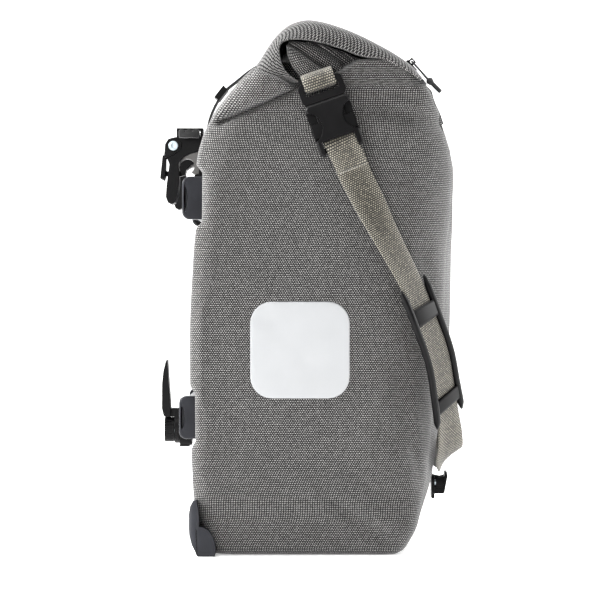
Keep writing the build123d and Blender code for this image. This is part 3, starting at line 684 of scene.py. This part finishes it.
def gusset_lobe(side):
    """The corner fold of the roll: fabric that hangs over the side panel above a sharp crease."""
    run = CREASE_B - CREASE_A
    way = run.normalized()
    up = Vector((-way.y, way.x))
    verts, uvs = [], []
    for h in LOBE_HEIGHTS:
        for i in range(LOBE_COLS):
            s = lerp(-0.07, 1.06, i / (LOBE_COLS - 1))
            bow = -1.6 * math.sin(math.pi * max(min(s, 1), 0)) + 0.5 * wrinkle((s * 90, 0, 0), 14, 9.0)
            q = CREASE_A + run * s + up * (bow + h)
            p, n = near_surface(q.x, min(q.y, 389.0))
            fade = ramp(s, -0.07, 0.07) * (1 - 0.55 * ramp(s, 0.75, 1.06))
            proud = value_at(LOBE_PROUD, h)
            proud = proud * fade if proud > 0 else proud - 0.6 * (1 - fade)
            proud += (1 - fade) * -0.8 + 0.5 * fade * wrinkle((q.x, 0, q.y), 12, 6.0) * ramp(h, 1, 6)
            p = p + Vector((n.x * 0.1, n.y, 0)) * proud
            verts.append((p.x, side * -p.y, p.z))
            uvs.append(tuple(q))
    faces = grid_faces(len(LOBE_HEIGHTS), LOBE_COLS, flip=side > 0)
    obj = piece("gusset_lobe_" + side_name(side), verts, faces, "bag", "melange_fabric", uvs)
    subdivide(obj)
    apply_modifiers(obj)


# ---- the rolled closure

ROLL_END = 158.0           # half the length of the roll
# The near end's stitched edge, x and z, from the outer side over the top to the rack side.
HEM_RING = [
    (84.0, 372.0), (74.9, 378.3), (63.9, 384.5), (53.8, 388.9), (38.0, 390.7), (23.5, 396.1), (8.8, 400.8),
    (-5.9, 403.5), (-17.6, 403.6), (-24.3, 400.5), (-25.4, 393.5), (-23.2, 383.7), (-17.6, 376.5),
    (-9.5, 371.0),
]
# The same edge further along, at the roll's full size.
CROWN_RING = [
    (88.0, 369.0), (77.0, 383.2), (62.5, 393.8), (48.0, 401.6), (28.5, 411.2), (9.5, 417.9), (-5.0, 420.2),
    (-17.5, 416.4), (-25.6, 409.7), (-31.9, 401.5), (-39.7, 389.0), (-45.5, 380.5), (-44.0, 375.5),
    (-28.0, 373.5),
]
# From the end inwards: how far, and how much of the full size.
ROLL_STATIONS = [(0.0, 0.0), (1.2, 0.22), (3.0, 0.46), (5.5, 0.68), (9.5, 0.86), (16.0, 0.96), (26.0, 1.0)]


def roll_sheet():
    """The outermost turn of the roll: a thick double sheet, drawn in at both open ends."""
    hem, crown = curve_in_xz(HEM_RING, 5), curve_in_xz(CROWN_RING, 5)
    n = len(hem)
    stations = [(-ROLL_END + d, t) for d, t in ROLL_STATIONS]
    stations += [(y, 1.0) for y in (-112.0, -84.0, -56.0, -28.0, 0.0)]
    stations += [(-y, t) for y, t in stations[-2::-1]]
    verts, uvs = [], []
    for y, t in stations:
        along = 0.0
        last = None
        for i in range(n):
            p = hem[i].lerp(crown[i], t)
            sag = -1.6 * t * math.sin(math.pi * i / (n - 1)) * (0.5 + 0.5 * math.cos(math.pi * y / ROLL_END))
            w = 0.9 * t * wrinkle((p.x, y, p.z), 40, 4.0)
            q = Vector((p.x, 0, p.z + sag + w))
            if last is not None:
                along += (q - last).length
            last = q
            verts.append((q.x, y, q.z))
            uvs.append((y, along))
    obj = piece("roll_sheet", verts, grid_faces(len(stations), n), "bag", "melange_fabric", uvs,
                replaces=("closure_roll",))
    subdivide(obj)
    add_modifier(obj, "SOLIDIFY", thickness=1.7 * MM, offset=-1.0)
    round_edges(obj, 0.4, 50)


def hem_stitches(side):
    """Two rows of stitches along the hem at an open end of the roll."""
    hem, crown = curve_in_xz(HEM_RING, 5), curve_in_xz(CROWN_RING, 5)
    for row, inset, share in (("a", 1.0, 0.18), ("b", 4.2, 0.58)):
        line = [a.lerp(b, share) for a, b in zip(hem, crown)]
        path = []
        for i, p in enumerate(line):
            run = line[min(i + 1, len(line) - 1)] - line[max(i - 1, 0)]
            out = Vector((run.z, 0, -run.x)).normalized() * -1
            if out.z < 0 and p.z > 396:
                out = -out
            path.append((Vector((p.x, side * (ROLL_END - inset), p.z)) + out * 0.35, out))
        stitch_row(f"hem_stitch_{side_name(side)}_{row}", path, 2.4, 1.0, 0.3, slot="melange_fabric",
                   material="thread_dark")


# Inner turns at each end: the upper edge of each fold, the lower edge, and how deep it sits.
FOLD_LEAVES = [
    ([(-20.0, 399.6), (-13.0, 396.2), (-4.0, 389.6), (7.0, 381.8), (17.0, 375.0)],
     [(-20.0, 399.6), (-18.0, 389.0), (-12.6, 379.5), (-5.0, 372.0), (6.0, 366.0)], 0.5),
    ([(-19.0, 403.2), (-7.0, 402.4), (6.0, 397.0), (18.0, 388.6), (28.0, 380.6)],
     [(-19.0, 400.4), (-11.5, 396.6), (-2.0, 390.2), (9.0, 382.2), (19.0, 375.4)], 7.5),
    ([(-5.0, 403.6), (9.0, 401.2), (23.0, 394.4), (33.0, 387.5), (41.0, 381.5)],
     [(-5.0, 402.6), (7.0, 397.6), (19.0, 389.4), (29.0, 381.4), (36.0, 375.0)], 14.0),
    ([(13.0, 399.4), (24.0, 396.2), (34.0, 391.8), (44.0, 388.4), (52.0, 385.0)],
     [(12.0, 397.5), (22.0, 394.0), (31.0, 388.0), (40.0, 381.0), (46.0, 375.0)], 20.0),
]


LEAF_COLS = 9
# How a fold carries on from its upper edge: inwards and down.
LEAF_BACK = ((1.5, 0.36), (5.0, 1.32), (14.0, 3.0), (34.0, 4.2))


def fold_leaves(side):
    """The turned-in folds seen at an open end, each a rounded face that carries on inwards at its top."""
    verts, uvs, faces = [], [], []
    for upper, lower, deep in FOLD_LEAVES:
        top, low = curve_in_xz(upper, 5), curve_in_xz(lower, 5)
        start = len(verts)
        along = 0.0
        for i, (a, b) in enumerate(zip(top, low)):
            if i:
                along += (a - top[i - 1]).length
            for k in range(LEAF_COLS):
                t = k / (LEAF_COLS - 1)
                p = b.lerp(a, t)
                face_y = ROLL_END - 4.5 - deep + 4.0 * math.sin(math.pi * t)
                verts.append((p.x, side * (face_y + 1.2), p.z))
                uvs.append((along, (b - p).length))
            for back, drop in LEAF_BACK:
                verts.append((a.x, side * (ROLL_END - 3.5 - deep - back), a.z - drop))
                uvs.append((along, (b - a).length + back))
        faces += grid_faces(len(top), LEAF_COLS + len(LEAF_BACK), start=start, flip=side > 0)
    obj = piece("roll_folds_" + side_name(side), verts, faces, "bag", "melange_fabric", uvs)
    subdivide(obj)
    add_modifier(obj, "SOLIDIFY", thickness=1.0 * MM, offset=0.0)
    apply_modifiers(obj)


# ---- webbing


def strip_frames(points, outwards):
    """(point, across, outward) at each point of a strap's middle line."""
    rows = []
    for i, p in enumerate(points):
        run = (points[min(i + 1, len(points) - 1)] - points[max(i - 1, 0)]).normalized()
        across = run.cross(outwards[i]).normalized()
        rows.append((p, across, across.cross(run).normalized()))
    return rows


def strap(name, rows, width, thick, slot, replaces, body="bag", lift=0.0):
    """Woven tape with rounded selvedges."""
    half, t, crown = width / 2, thick, 0.25
    right = [(half * 0.5, 0.0), (half - 0.25, 0.0), (half, 0.25), (half, t - 0.35), (half - 0.5, t),
             (half - 2.2, t + crown * 0.4), (half * 0.4, t + crown)]
    left = [(-a, b) for a, b in right[::-1]]
    outline = left[4:] + [(0, 0)] + right + [(0, t + crown)] + left[:4]
    edges = [1.0 if abs(a) > half - 2.4 else 0.0 for a, b in outline]
    lengths = [0.0]
    for a, b in zip(outline, outline[1:]):
        lengths.append(lengths[-1] + math.dist(a, b))
    verts, uvs, edge = [], [], []
    along = 0.0
    for i, (p, across, out) in enumerate(rows):
        if i:
            along += (p - rows[i - 1][0]).length
        for (a, b), e, s in zip(outline, edges, lengths):
            verts.append(tuple(p + across * a + out * (b + lift)))
            uvs.append((s, along))
            edge.append(e)
    faces = tube_faces(len(rows), len(outline))
    corner_uvs = []
    for f in faces:
        us = [uvs[i] for i in f]
        high = max(u for u, v in us)
        wrap = len(f) == 4 and high - min(u for u, v in us) > width
        corner_uvs += [(high + 0.5 if wrap and u < 1 else u, v) for u, v in us]
    piece(name, verts, faces, body, slot, corner_uvs, edge=edge, replaces=replaces)


# Near side, millimetres: point and outward way, from below the buckle to the middle.
STRAP_ROUTE = [
    ((31.4, -158.5, 302.5), (0, -1, 0)),
    ((40.5, -157.5, 284.0), (0.12, -0.99, 0.05)),
    ((55.5, -155.0, 254.0), (0.52, -0.83, 0.13)),
    ((76.0, -147.5, 215.0), (0.68, -0.67, 0.15)),
    ((88.5, -142.5, 184.0), (0.745, -0.65, 0.04)),
    ((98.2, -130.5, 157.0), (0.716, -0.634, -0.06)),
    ((103.4, -118.5, 130.5), (0.743, -0.59, -0.15)),
    ((107.2, -105.5, 109.0), (0.745, -0.61, -0.22)),
    ((109.4, -91.5, 90.5), (0.60, -0.65, -0.42)),
    ((109.2, -73.0, 78.5), (0.46, -0.60, -0.46)),
    ((105.8, -44.0, 75.0), (0.90, -0.1, -0.25)),
    ((104.6, -18.0, 75.0), (0.98, 0, -0.1)),
    ((104.4, 0.0, 75.5), (1, 0, 0)),
]


BUCKLE_TILT = math.radians(19)
BUCKLE_AT = Vector((14.5, -162.0, 343.0))
STRAP_WIDTH = 25.0


def on_buckle(across, down, out):
    """A near-side point from the buckle's own frame: across, down along the strap, outwards."""
    c, t = math.cos(BUCKLE_TILT), math.sin(BUCKLE_TILT)
    across += 2.6 * ramp(down, 16, 40)
    return BUCKLE_AT + Vector((across * c + down * t, -out, across * t - down * c))


def buckle_way(down, out):
    return Vector((down * math.sin(BUCKLE_TILT), -out, -down * math.cos(BUCKLE_TILT)))


def mirrored(rows):
    """The far side's frames for a near-side strap."""
    flip = Matrix.Diagonal((1, -1, 1))
    return [(flip @ p, -(flip @ a), flip @ o) for p, a, o in rows]


BUCKLE_LOOP = [            # down and out in the buckle's frame, then the outward way there
    ((24.0, -2.2), (0.0, -1.0)), ((19.6, -1.2), (-0.4, -0.9)), ((17.4, 1.6), (-1.0, -0.2)),
    ((17.3, 4.6), (-1.0, 0.3)), ((18.8, 6.9), (-0.5, 0.86)), ((22.0, 7.5), (0.1, 1.0)),
    ((26.5, 6.2), (0.3, 0.95)), ((33.0, 3.4), (0.35, 0.93)), ((39.0, 0.4), (0.3, 0.95)),
]


def buckle_frames(path, per_run, across, sunk):
    """Frames along (down, out) points and ways in the buckle's frame, sunk by a tape's thickness."""
    return strip_frames(catmull([on_buckle(across, d, o - sunk) for (d, o), w in path], per_run),
                        catmull([buckle_way(*w) for q, w in path], per_run))


def shoulder_rows():
    points = [on_buckle(0, d, o) for (d, o), w in BUCKLE_LOOP] + [Vector(p) for p, o in STRAP_ROUTE]
    ways = [buckle_way(*w) for q, w in BUCKLE_LOOP] + [Vector(o) for p, o in STRAP_ROUTE]
    rows = strip_frames(catmull(points, 6), catmull(ways, 6))
    rows[-1] = (rows[-1][0], Vector((0, 0, -1)), Vector((1, 0, 0)))
    return rows


TAIL_PATH = [((22.0, -3.9), (0, 1)), ((30.0, -3.6), (0, 1)), ((38.0, -3.2), (0, 1)), ((45.5, -3.0), (0, 1))]
ROLL_LOOP = [
    ((-36.5, -14.0), (-1.0, 0.0)), ((-36.8, -7.0), (-1.0, 0.0)), ((-36.8, -1.0), (-1.0, 0.1)),
    ((-36.3, 4.4), (-0.9, 0.5)), ((-34.0, 8.4), (-0.4, 0.9)), ((-30.5, 9.8), (0.1, 1)),
    ((-27.0, 9.0), (0.5, 0.86)), ((-25.3, 6.8), (1.0, 0.3)), ((-25.0, 3.6), (1.0, 0.0)),
    ((-25.6, 0.2), (1, -0.4)), ((-28.5, -1.8), (0.3, -1.0)), ((-34.0, -3.4), (0, -1.0)),
    ((-39.0, -6.5), (-0.4, -0.9)),
]


def frame_at(rows, share):
    """The frame at a share of a strap's length."""
    runs = [(rows[i + 1][0] - rows[i][0]).length for i in range(len(rows) - 1)]
    left = share * sum(runs)
    for i, run in enumerate(runs):
        if left <= run:
            t = left / run
            return tuple(rows[i][k].lerp(rows[i + 1][k], t) for k in range(3))
        left -= run
    return rows[-1]


STITCH_RINGS = ((0.0, 0.35), (0.25, 0.9), (0.5, 1.0), (0.75, 0.9), (1.0, 0.35))     # of length, of radius
STITCH_SIDES = 6


def stitch_row(name, path, length, gap, radius, slot="olive_webbing", material="thread_pale"):
    """Short thread stitches laid end to end along a path of (point, outward)."""
    total = [0.0]
    for a, b in zip(path, path[1:]):
        total.append(total[-1] + (b[0] - a[0]).length)

    def point(d):
        k = min(max(i for i in range(len(total)) if total[i] <= d), len(path) - 2)
        t = (d - total[k]) / max(total[k + 1] - total[k], 1e-6)
        return path[k][0].lerp(path[k + 1][0], t), path[k][1].lerp(path[k + 1][1], t).normalized()
    verts, faces, uvs = [], [], []
    at = gap
    n = STITCH_SIDES
    while at + length < total[-1]:
        a = point(at)[0]
        b, up = point(at + length)
        side = (b - a).normalized().cross(up).normalized()
        start = len(verts)
        for t, fat in STITCH_RINGS:
            centre = a.lerp(b, t) + up * (radius * (0.9 * fat - 0.5))
            for k in range(n):
                ang = 2 * math.pi * k / n
                spoke = side * math.cos(ang) * radius * fat + up * math.sin(ang) * radius * fat
                verts.append(tuple(centre + spoke))
                uvs.append((k, at + length * t))
        faces += tube_faces(len(STITCH_RINGS), n, start)
        at += length + gap
    piece(name, verts, faces, "bag", slot, uvs, material=material)


def sweep(name, rows, outline, slot, body="bag", replaces=(), shrink=(1.0, 1.0)):
    """A solid with a closed outline of (across, out) points along frames; shrink narrows its two ends."""
    n = len(outline)
    middle_a = sum(a for a, b in outline) / n
    middle_b = sum(b for a, b in outline) / n
    verts, uvs, along = [], [], 0.0
    for i, (p, across, out) in enumerate(rows):
        if i:
            along += (p - rows[i - 1][0]).length
        t = i / (len(rows) - 1)
        k = lerp(1.0, shrink[0], ramp(0.06 - t, 0.0, 0.06)) * lerp(1.0, shrink[1], ramp(t, 0.94, 1.0))
        for a, b in outline:
            q = p + across * (middle_a + (a - middle_a) * k) + out * (middle_b + (b - middle_b) * k)
            verts.append(tuple(q))
            uvs.append((a + b, along))
    return piece(name, verts, tube_faces(len(rows), n), body, slot, uvs, replaces=replaces)


def sweep_in_y(name, side, start, length, steps, outline, slot, **props):
    """A solid with an outline of (x, z) points, along Y from start outwards."""
    rows = [(Vector((0, side * (start + length * k / steps), 0)), Vector((1, 0, 0)), Vector((0, 0, 1)))
            for k in range(steps + 1)]
    return sweep(name, rows if side > 0 else rows[::-1], outline[::-1], slot, **props)


def rounded_outline(a0, a1, b0, b1, radius, steps=3):
    out = []
    for ca, cb, start in ((a1 - radius, b1 - radius, 0), (a0 + radius, b1 - radius, 90),
                          (a0 + radius, b0 + radius, 180), (a1 - radius, b0 + radius, 270)):
        for i in range(steps + 1):
            ang = math.radians(start + 90 * i / steps)
            out.append((ca + radius * math.cos(ang), cb + radius * math.sin(ang)))
    return out


def shoulder_pad():
    """Two wavy rails joined by two crossbars that hold the strap."""
    main = strip_frames(catmull([p for p, o in STRAP_ROUTE], 8), catmull([o for p, o in STRAP_ROUTE], 8))
    rows = main[3 * 8:7 * 8 + 1]
    for name, side in (("a", -1), ("b", 1)):
        line = []
        for k, (p, across, out) in enumerate(rows):
            swell = 0.7 * math.cos(2 * math.pi * k / (len(rows) - 1)) - 0.5
            line.append((p + across * side * (15.6 + swell), across, out))
        sweep("pad_rail_" + name, line, rounded_outline(-2.5, 2.5, -0.4, 4.6, 1.6),
                           "black_plastic", shrink=(0.35, 0.35))
    for name, start, end in (("a", 0.16, 0.27), ("b", 0.80, 0.90)):
        line = [frame_at(rows, lerp(start, end, k / 6)) for k in range(7)]
        sweep("pad_bar_" + name, line, rounded_outline(-15.4, 15.4, 2.25, 4.15, 0.85), "black_plastic",
              shrink=(0.97, 0.97))
    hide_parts("strap_pad")


HANDLE_HALF = [(0, 338.6), (13, 338.2), (26, 337.0), (38, 335.2), (50, 333.8), (62, 333.5), (82, 333.4),
               (94.5, 333.3)]      # y and z, from the grip's middle to an end
HANDLE_PATH = [(-y, z) for y, z in HANDLE_HALF[:0:-1]] + HANDLE_HALF


def carrying_handle():
    points = catmull([(-98.0, y, z) for y, z in HANDLE_PATH], 5)
    rows = strip_frames(points, [Vector((0, 0, 1))] * len(points))
    strap("handle_webbing", rows, 15.6, 1.9, "black_webbing", ("carry_handle",), body="handle")
    for side in (-1, 1):
        handle_end(side)


FOLD_MIDDLES = (-92.3, -98.0, -103.6)
FOLD_FOOT, FOLD_SHOULDER = 331.2, 332.4


def handle_end(side):
    """The webbing's end, folded three times and sewn through, as a stop behind the hook."""
    outline = [(-90.1, FOLD_FOOT), (-90.1, FOLD_SHOULDER)]
    for middle in FOLD_MIDDLES:
        for k in range(9):
            a = math.radians(20 * k + 10)
            outline.append((middle + 2.65 * math.cos(a), 335.6 + 2.5 * math.sin(a)))
    outline += [(-105.9, FOLD_SHOULDER), (-105.9, FOLD_FOOT)]
    end = sweep_in_y("handle_fold_" + side_name(side), side, 93.4, 8.2, 6, outline, "black_webbing",
                     body="handle", shrink=(0.96, 0.96))
    round_edges(end, 0.25, 40)


BACK_ROUTE = [(-82.7, 321.5), (-85.4, 335.0), (-83.4, 349.5), (-80.0, 359.0), (-76.0, 366.5), (-69.0, 375.5),
              (-61.0, 382.0), (-53.0, 388.5), (-43.5, 394.8), (-33.5, 400.2)]


def back_straps():
    points = curve_in_xz(BACK_ROUTE, 6)
    rows = strip_frames(points, [Vector((-1, 0, 0.4))] * len(points))
    strap("back_webbing", rows, 20.0, 1.4, "black_webbing", ("back_strap",), lift=1.0)


def hook_ribs():
    """Two ribs that join the outer hook's plate, floor and lip."""
    low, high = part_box("front_hook")
    x0, x1, z0, z1 = low[0] / MM, high[0] / MM, low[2] / MM, high[2] / MM
    outline = [(x0 + 0.6, z0 + 4.4), (x1 - 3.4, z0 + 4.6), (x1 - 1.2, z1 - 7.0), (x1 - 1.6, z1 - 3.6),
               (x1 - 6.0, z1 - 4.6), (x0 + 1.8, z1 - 3.4)]
    for side in (-1, 1):
        rib = sweep_in_y("front_hook_rib_" + side_name(side), side, 8.6, 1.8, 3, outline, "black_plastic")
        round_edges(rib, 0.5, 40)


# ---- stage, light and camera


def build_stage():
    """Pale paper that runs back over the floor and curves up behind."""
    mesh = bpy.data.meshes.new("studio_floor")
    xs, depth, rise = 8.0, 5.0, 5.5
    profile = [(-4.0, 0.0), (depth - 1.0, 0.0)]
    for k in range(14):
        a = lerp(0.1, math.pi / 2, k / 13)
        profile.append((depth - 1.0 + math.sin(a), 1.0 - math.cos(a)))
    profile.append((depth, rise))
    verts = [(x, y, z - 0.0002) for y, z in profile for x in (-xs, xs)]
    faces = [(2 * i, 2 * i + 1, 2 * i + 3, 2 * i + 2) for i in range(len(profile) - 1)]
    mesh.from_pydata(verts, [], faces)
    for poly in mesh.polygons:
        poly.use_smooth = True
    floor = in_scene("studio_floor", mesh)
    mat, tree, shader = new_material("studio_paper")
    cloud = pattern(tree, "Noise", object_space(tree), {"Scale": 3.0})
    link(tree, mix_colour(tree, cloud.outputs["Fac"], (0.93, 0.93, 0.93), (0.95, 0.95, 0.95)),
         shader.inputs["Base Color"])
    set_inputs(shader, {"Roughness": 0.9, "Emission Color": (1.0, 1.0, 1.0, 1), "Emission Strength": 0.4})
    mesh.materials.append(mat)


LIGHTS = [                 # place, what it points at, its side in metres, watts
    ("key_above", (-0.7, -0.7, 2.1), (0, 0, 0.2), 1.0, 26),
    ("left_edge", (-1.75, -0.1, 1.0), (0, 0, 0.2), 1.1, 90),
    ("right_edge", (1.75, 0.5, 0.8), (0, 0, 0.2), 1.2, 30),
    ("front_soft", (-0.9, -2.5, 0.7), (0, 0, 0.2), 1.0, 22),
    ("backdrop_wash", (0.0, 1.4, 3.2), (0, 3.6, 0.6), 4.2, 190),
]


def build_light():
    world = bpy.data.worlds.new("studio")
    world.use_nodes = True
    background = world.node_tree.nodes["Background"]
    background.inputs["Color"].default_value = (1.0, 1.0, 1.0, 1)
    background.inputs["Strength"].default_value = 0.30
    bpy.context.scene.world = world
    for name, place, target, size, power in LIGHTS:
        data = bpy.data.lights.new(name, "AREA")
        data.shape = "RECTANGLE"
        data.size = data.size_y = size
        data.energy = power
        obj = in_scene(name, data)
        obj.location = place
        obj.rotation_euler = (Vector(target) - Vector(place)).to_track_quat("-Z", "Y").to_euler()
    bpy.context.scene.view_settings.view_transform = "Standard"


def build_camera():
    """Level, square to the near side panel, just left of the bag's middle."""
    data = bpy.data.cameras.new("camera")
    view_across = 0.4704                # metres seen across the picture at the near side panel
    distance = 2.27                     # from the lens to the near side panel
    near_side = 0.13
    data.sensor_width = 36.0
    data.lens = data.sensor_width * distance / view_across
    cam = in_scene("camera", data)
    cam.location = (-0.0098, -(distance + near_side), 0.2023)
    cam.rotation_euler = (math.pi / 2, 0, 0)
    bpy.context.scene.camera = cam


# ---- the zip and its cord

CORD_D = 0.0016
# Metres, from the knot up to the slider's eye, through it and back to the knot.
CORD_ROUTE = [
    (0.0915, -0.1039, 0.3776), (0.0884, -0.1028, 0.3812), (0.0854, -0.1024, 0.3846),
    (0.0824, -0.1026, 0.3880), (0.0789, -0.1026, 0.3912), (0.0789, -0.1074, 0.3912),
    (0.0822, -0.1073, 0.3876), (0.0854, -0.1074, 0.3840), (0.0882, -0.1070, 0.3806),
    (0.0912, -0.1061, 0.3772),
]
KNOT_AT = Vector((93.3, -105.0, 375.6))
# Millimetres: distance from the knot's middle, radius.
KNOT_PROFILE = [(-3.0, 0.5), (-2.7, 1.7), (-1.9, 2.5), (-0.8, 2.9), (0.0, 3.0), (0.8, 2.9), (1.9, 2.5),
                (2.7, 1.7), (3.0, 0.9)]
TAIL_PROFILE = [(2.2, 1.5), (2.8, 1.75), (9.8, 1.75), (11.0, 1.7), (11.8, 1.45), (12.0, 0.9)]


def lathe(name, profile, replaces, sides, shape):
    """A turned form below the knot's middle, from (distance, radius) rows; shape pushes points in or out."""
    z = Vector((1, 0, -1)).normalized()
    x = z.orthogonal().normalized()
    y = z.cross(x)
    verts, uvs = [], []
    for d, r in profile:
        for k in range(sides):
            a = 2 * math.pi * k / sides
            rr = r * shape(d, a)
            verts.append(tuple(KNOT_AT + z * d + (x * math.cos(a) + y * math.sin(a)) * rr))
            uvs.append((k * 2 * math.pi * r / sides, d))
    return piece(name, verts, tube_faces(len(profile), sides), "zip_pull", "zip_cord", uvs, replaces=replaces)


def zip_cord():
    curve = bpy.data.curves.new("pull_cord", "CURVE")
    curve.dimensions = "3D"
    spline = curve.splines.new("NURBS")
    spline.points.add(len(CORD_ROUTE) - 1)
    for point, (x, y, z) in zip(spline.points, CORD_ROUTE):
        point.co = (x, y, z, 1.0)
    spline.order_u = 3
    spline.use_endpoint_u = True
    spline.resolution_u = 8
    curve.bevel_depth = CORD_D / 2
    curve.bevel_resolution = 3
    curve.materials.append(MAT["zip_cord"])
    obj = in_scene("pull_cord", curve)
    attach(obj, "zip_pull")
    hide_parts("zip_cord")

    knot = lathe("pull_knot", KNOT_PROFILE, ("zip_knot",), 28,
                 lambda d, a: 0.93 + 0.1 * math.cos(2 * a + d * 1.6) * math.cos(d * 0.5))
    rows = [(lerp(a[0], b[0], t / 4), lerp(a[1], b[1], t / 4))
            for a, b in zip(TAIL_PROFILE, TAIL_PROFILE[1:]) for t in range(4)] + TAIL_PROFILE[-1:]
    tail = lathe("pull_tail", rows, ("zip_tail",), 20, lambda d, a: 1.0 + 0.04 * math.cos(a - d * 3.4))


ZIP_Y = -105.0
ZIP_LINE = [(71.5, 389.5), (82.0, 378.0), (92.5, 366.5), (97.5, 358.0), (101.5, 349.0), (104.0, 341.0)]


def zip_band():
    """The zip's tape, curved to the bag, with its coil along the middle and stitches at each side."""
    points = [Vector((x, ZIP_Y, z)) for x, z in ZIP_LINE[:3]]
    for x, z in ZIP_LINE[3:]:
        sizes = curve_through(LEVELS, z)
        points.append(Vector((body_point(sizes[1], ZIP_Y, z, "front", sizes)[0] - 0.4, ZIP_Y, z)))
    points = [points[0].lerp(points[2], k / 6) for k in range(6)] + catmull(points[2:], 6)
    ways = []
    for i in range(len(points)):
        run = points[min(i + 1, len(points) - 1)] - points[max(i - 1, 0)]
        ways.append(Vector((-run.z, 0, run.x)).normalized())
    rows = strip_frames(points, ways)
    across = (-11, -9, -7, -5, -3, 0, 3, 5, 7, 9, 11)
    outline = [(a, 0.35 - (max(abs(a) - 4.0, 0.0) ** 2) / 60) for a in across]
    outline += [(a, b + 0.75) for a, b in outline[::-1]]
    coil = rounded_outline(-2.5, 2.5, 1.1, 2.3, 0.5)
    sweep("zip_coil_run", rows, coil, "zip_coil", replaces=("zip_teeth",))
    sweep("zip_band", rows, outline, "zip_coil", replaces=("zip_tape",))
    for name, aside in (("a", -9.4), ("b", 9.4)):
        stitch_row("zip_stitch_" + name, [(p + a * aside + o * 0.95, o) for p, a, o in rows], 2.2, 0.9, 0.22,
                   slot="zip_coil", material="thread_dark")


# ---- assembly

build_stage()
build_light()
build_camera()
zip_cord()
zip_band()
fabric_body()
roll_sheet()
STITCH_SHARE = 0.104       # where the sewn line crosses the strap, as a share of its length
main_rows = shoulder_rows()
for side in (-1, 1):
    name = side_name(side)
    fold_leaves(side)
    hem_stitches(side)
    gusset_lobe(side)
    reflector(side)
    place = (lambda rows: rows) if side < 0 else mirrored
    strap("shoulder_webbing_" + name, place(main_rows), STRAP_WIDTH, 1.7, "olive_webbing",
          ("shoulder_strap_" + name,))
    strap("strap_end_" + name, place(buckle_frames(TAIL_PATH, 4, 1.2, 1.7)), 24.4, 1.5, "olive_webbing",
          ("strap_tail_" + name,))
    strap("roll_loop_" + name, place(buckle_frames(ROLL_LOOP, 5, 0, 1.2)), STRAP_WIDTH, 1.6, "olive_webbing",
          ("roll_webbing_" + name,))
    seam_p, seam_a, seam_o = frame_at(main_rows, STITCH_SHARE)
    line = [(seam_p + seam_a * w + seam_o * 1.95, seam_a, seam_o) for w in (-11.6, -4, 4, 11.6)]
    stitch_row("strap_stitch_" + name, [(p, o) for p, a, o in place(line)], 1.7, 0.5, 0.3)
shoulder_pad()
carrying_handle()
back_straps()
hook_ribs()

# CAD nodes that keep their shape get their finish; the moulded ones get rounded edges as well.
slot_of = {s["node"]: s["material_slot"] for s in frame["record"]["subparts"]}
SOFTEN = {                 # node and the width of its rounded edges, millimetres
    "front_hook": 0.6, "zip_slider": 0.3, "lower_carriage": 0.7, "lower_fin": 0.9, "lower_knob": 0.25,
    "back_buckle": 0.6,
}
for k in ("near", "far"):
    SOFTEN.update({
        f"corner_guard_{k}": 0.8, f"upper_rail_cap_{k}": 0.5, f"lower_rail_cap_{k}": 0.5,
        f"hook_body_{k}": 0.8, f"release_lever_{k}": 0.5, f"hook_insert_{k}": 0.3, f"pivot_screw_{k}": 0.25,
        f"buckle_female_{k}": 0.5, f"buckle_male_{k}": 0.5, f"buckle_prong_{k}_a": 0.4,
        f"buckle_prong_{k}_b": 0.4,
    })
for name, obj in frame["nodes"].items():
    slot_name = slot_of[name]
    if obj.hide_render:
        continue
    if name in SOFTEN:
        softened(name, SOFTEN[name], slot_name)
        continue
    obj.data.materials.clear()
    obj.data.materials.append(MAT[slot_name])

bpy.context.view_layer.update()
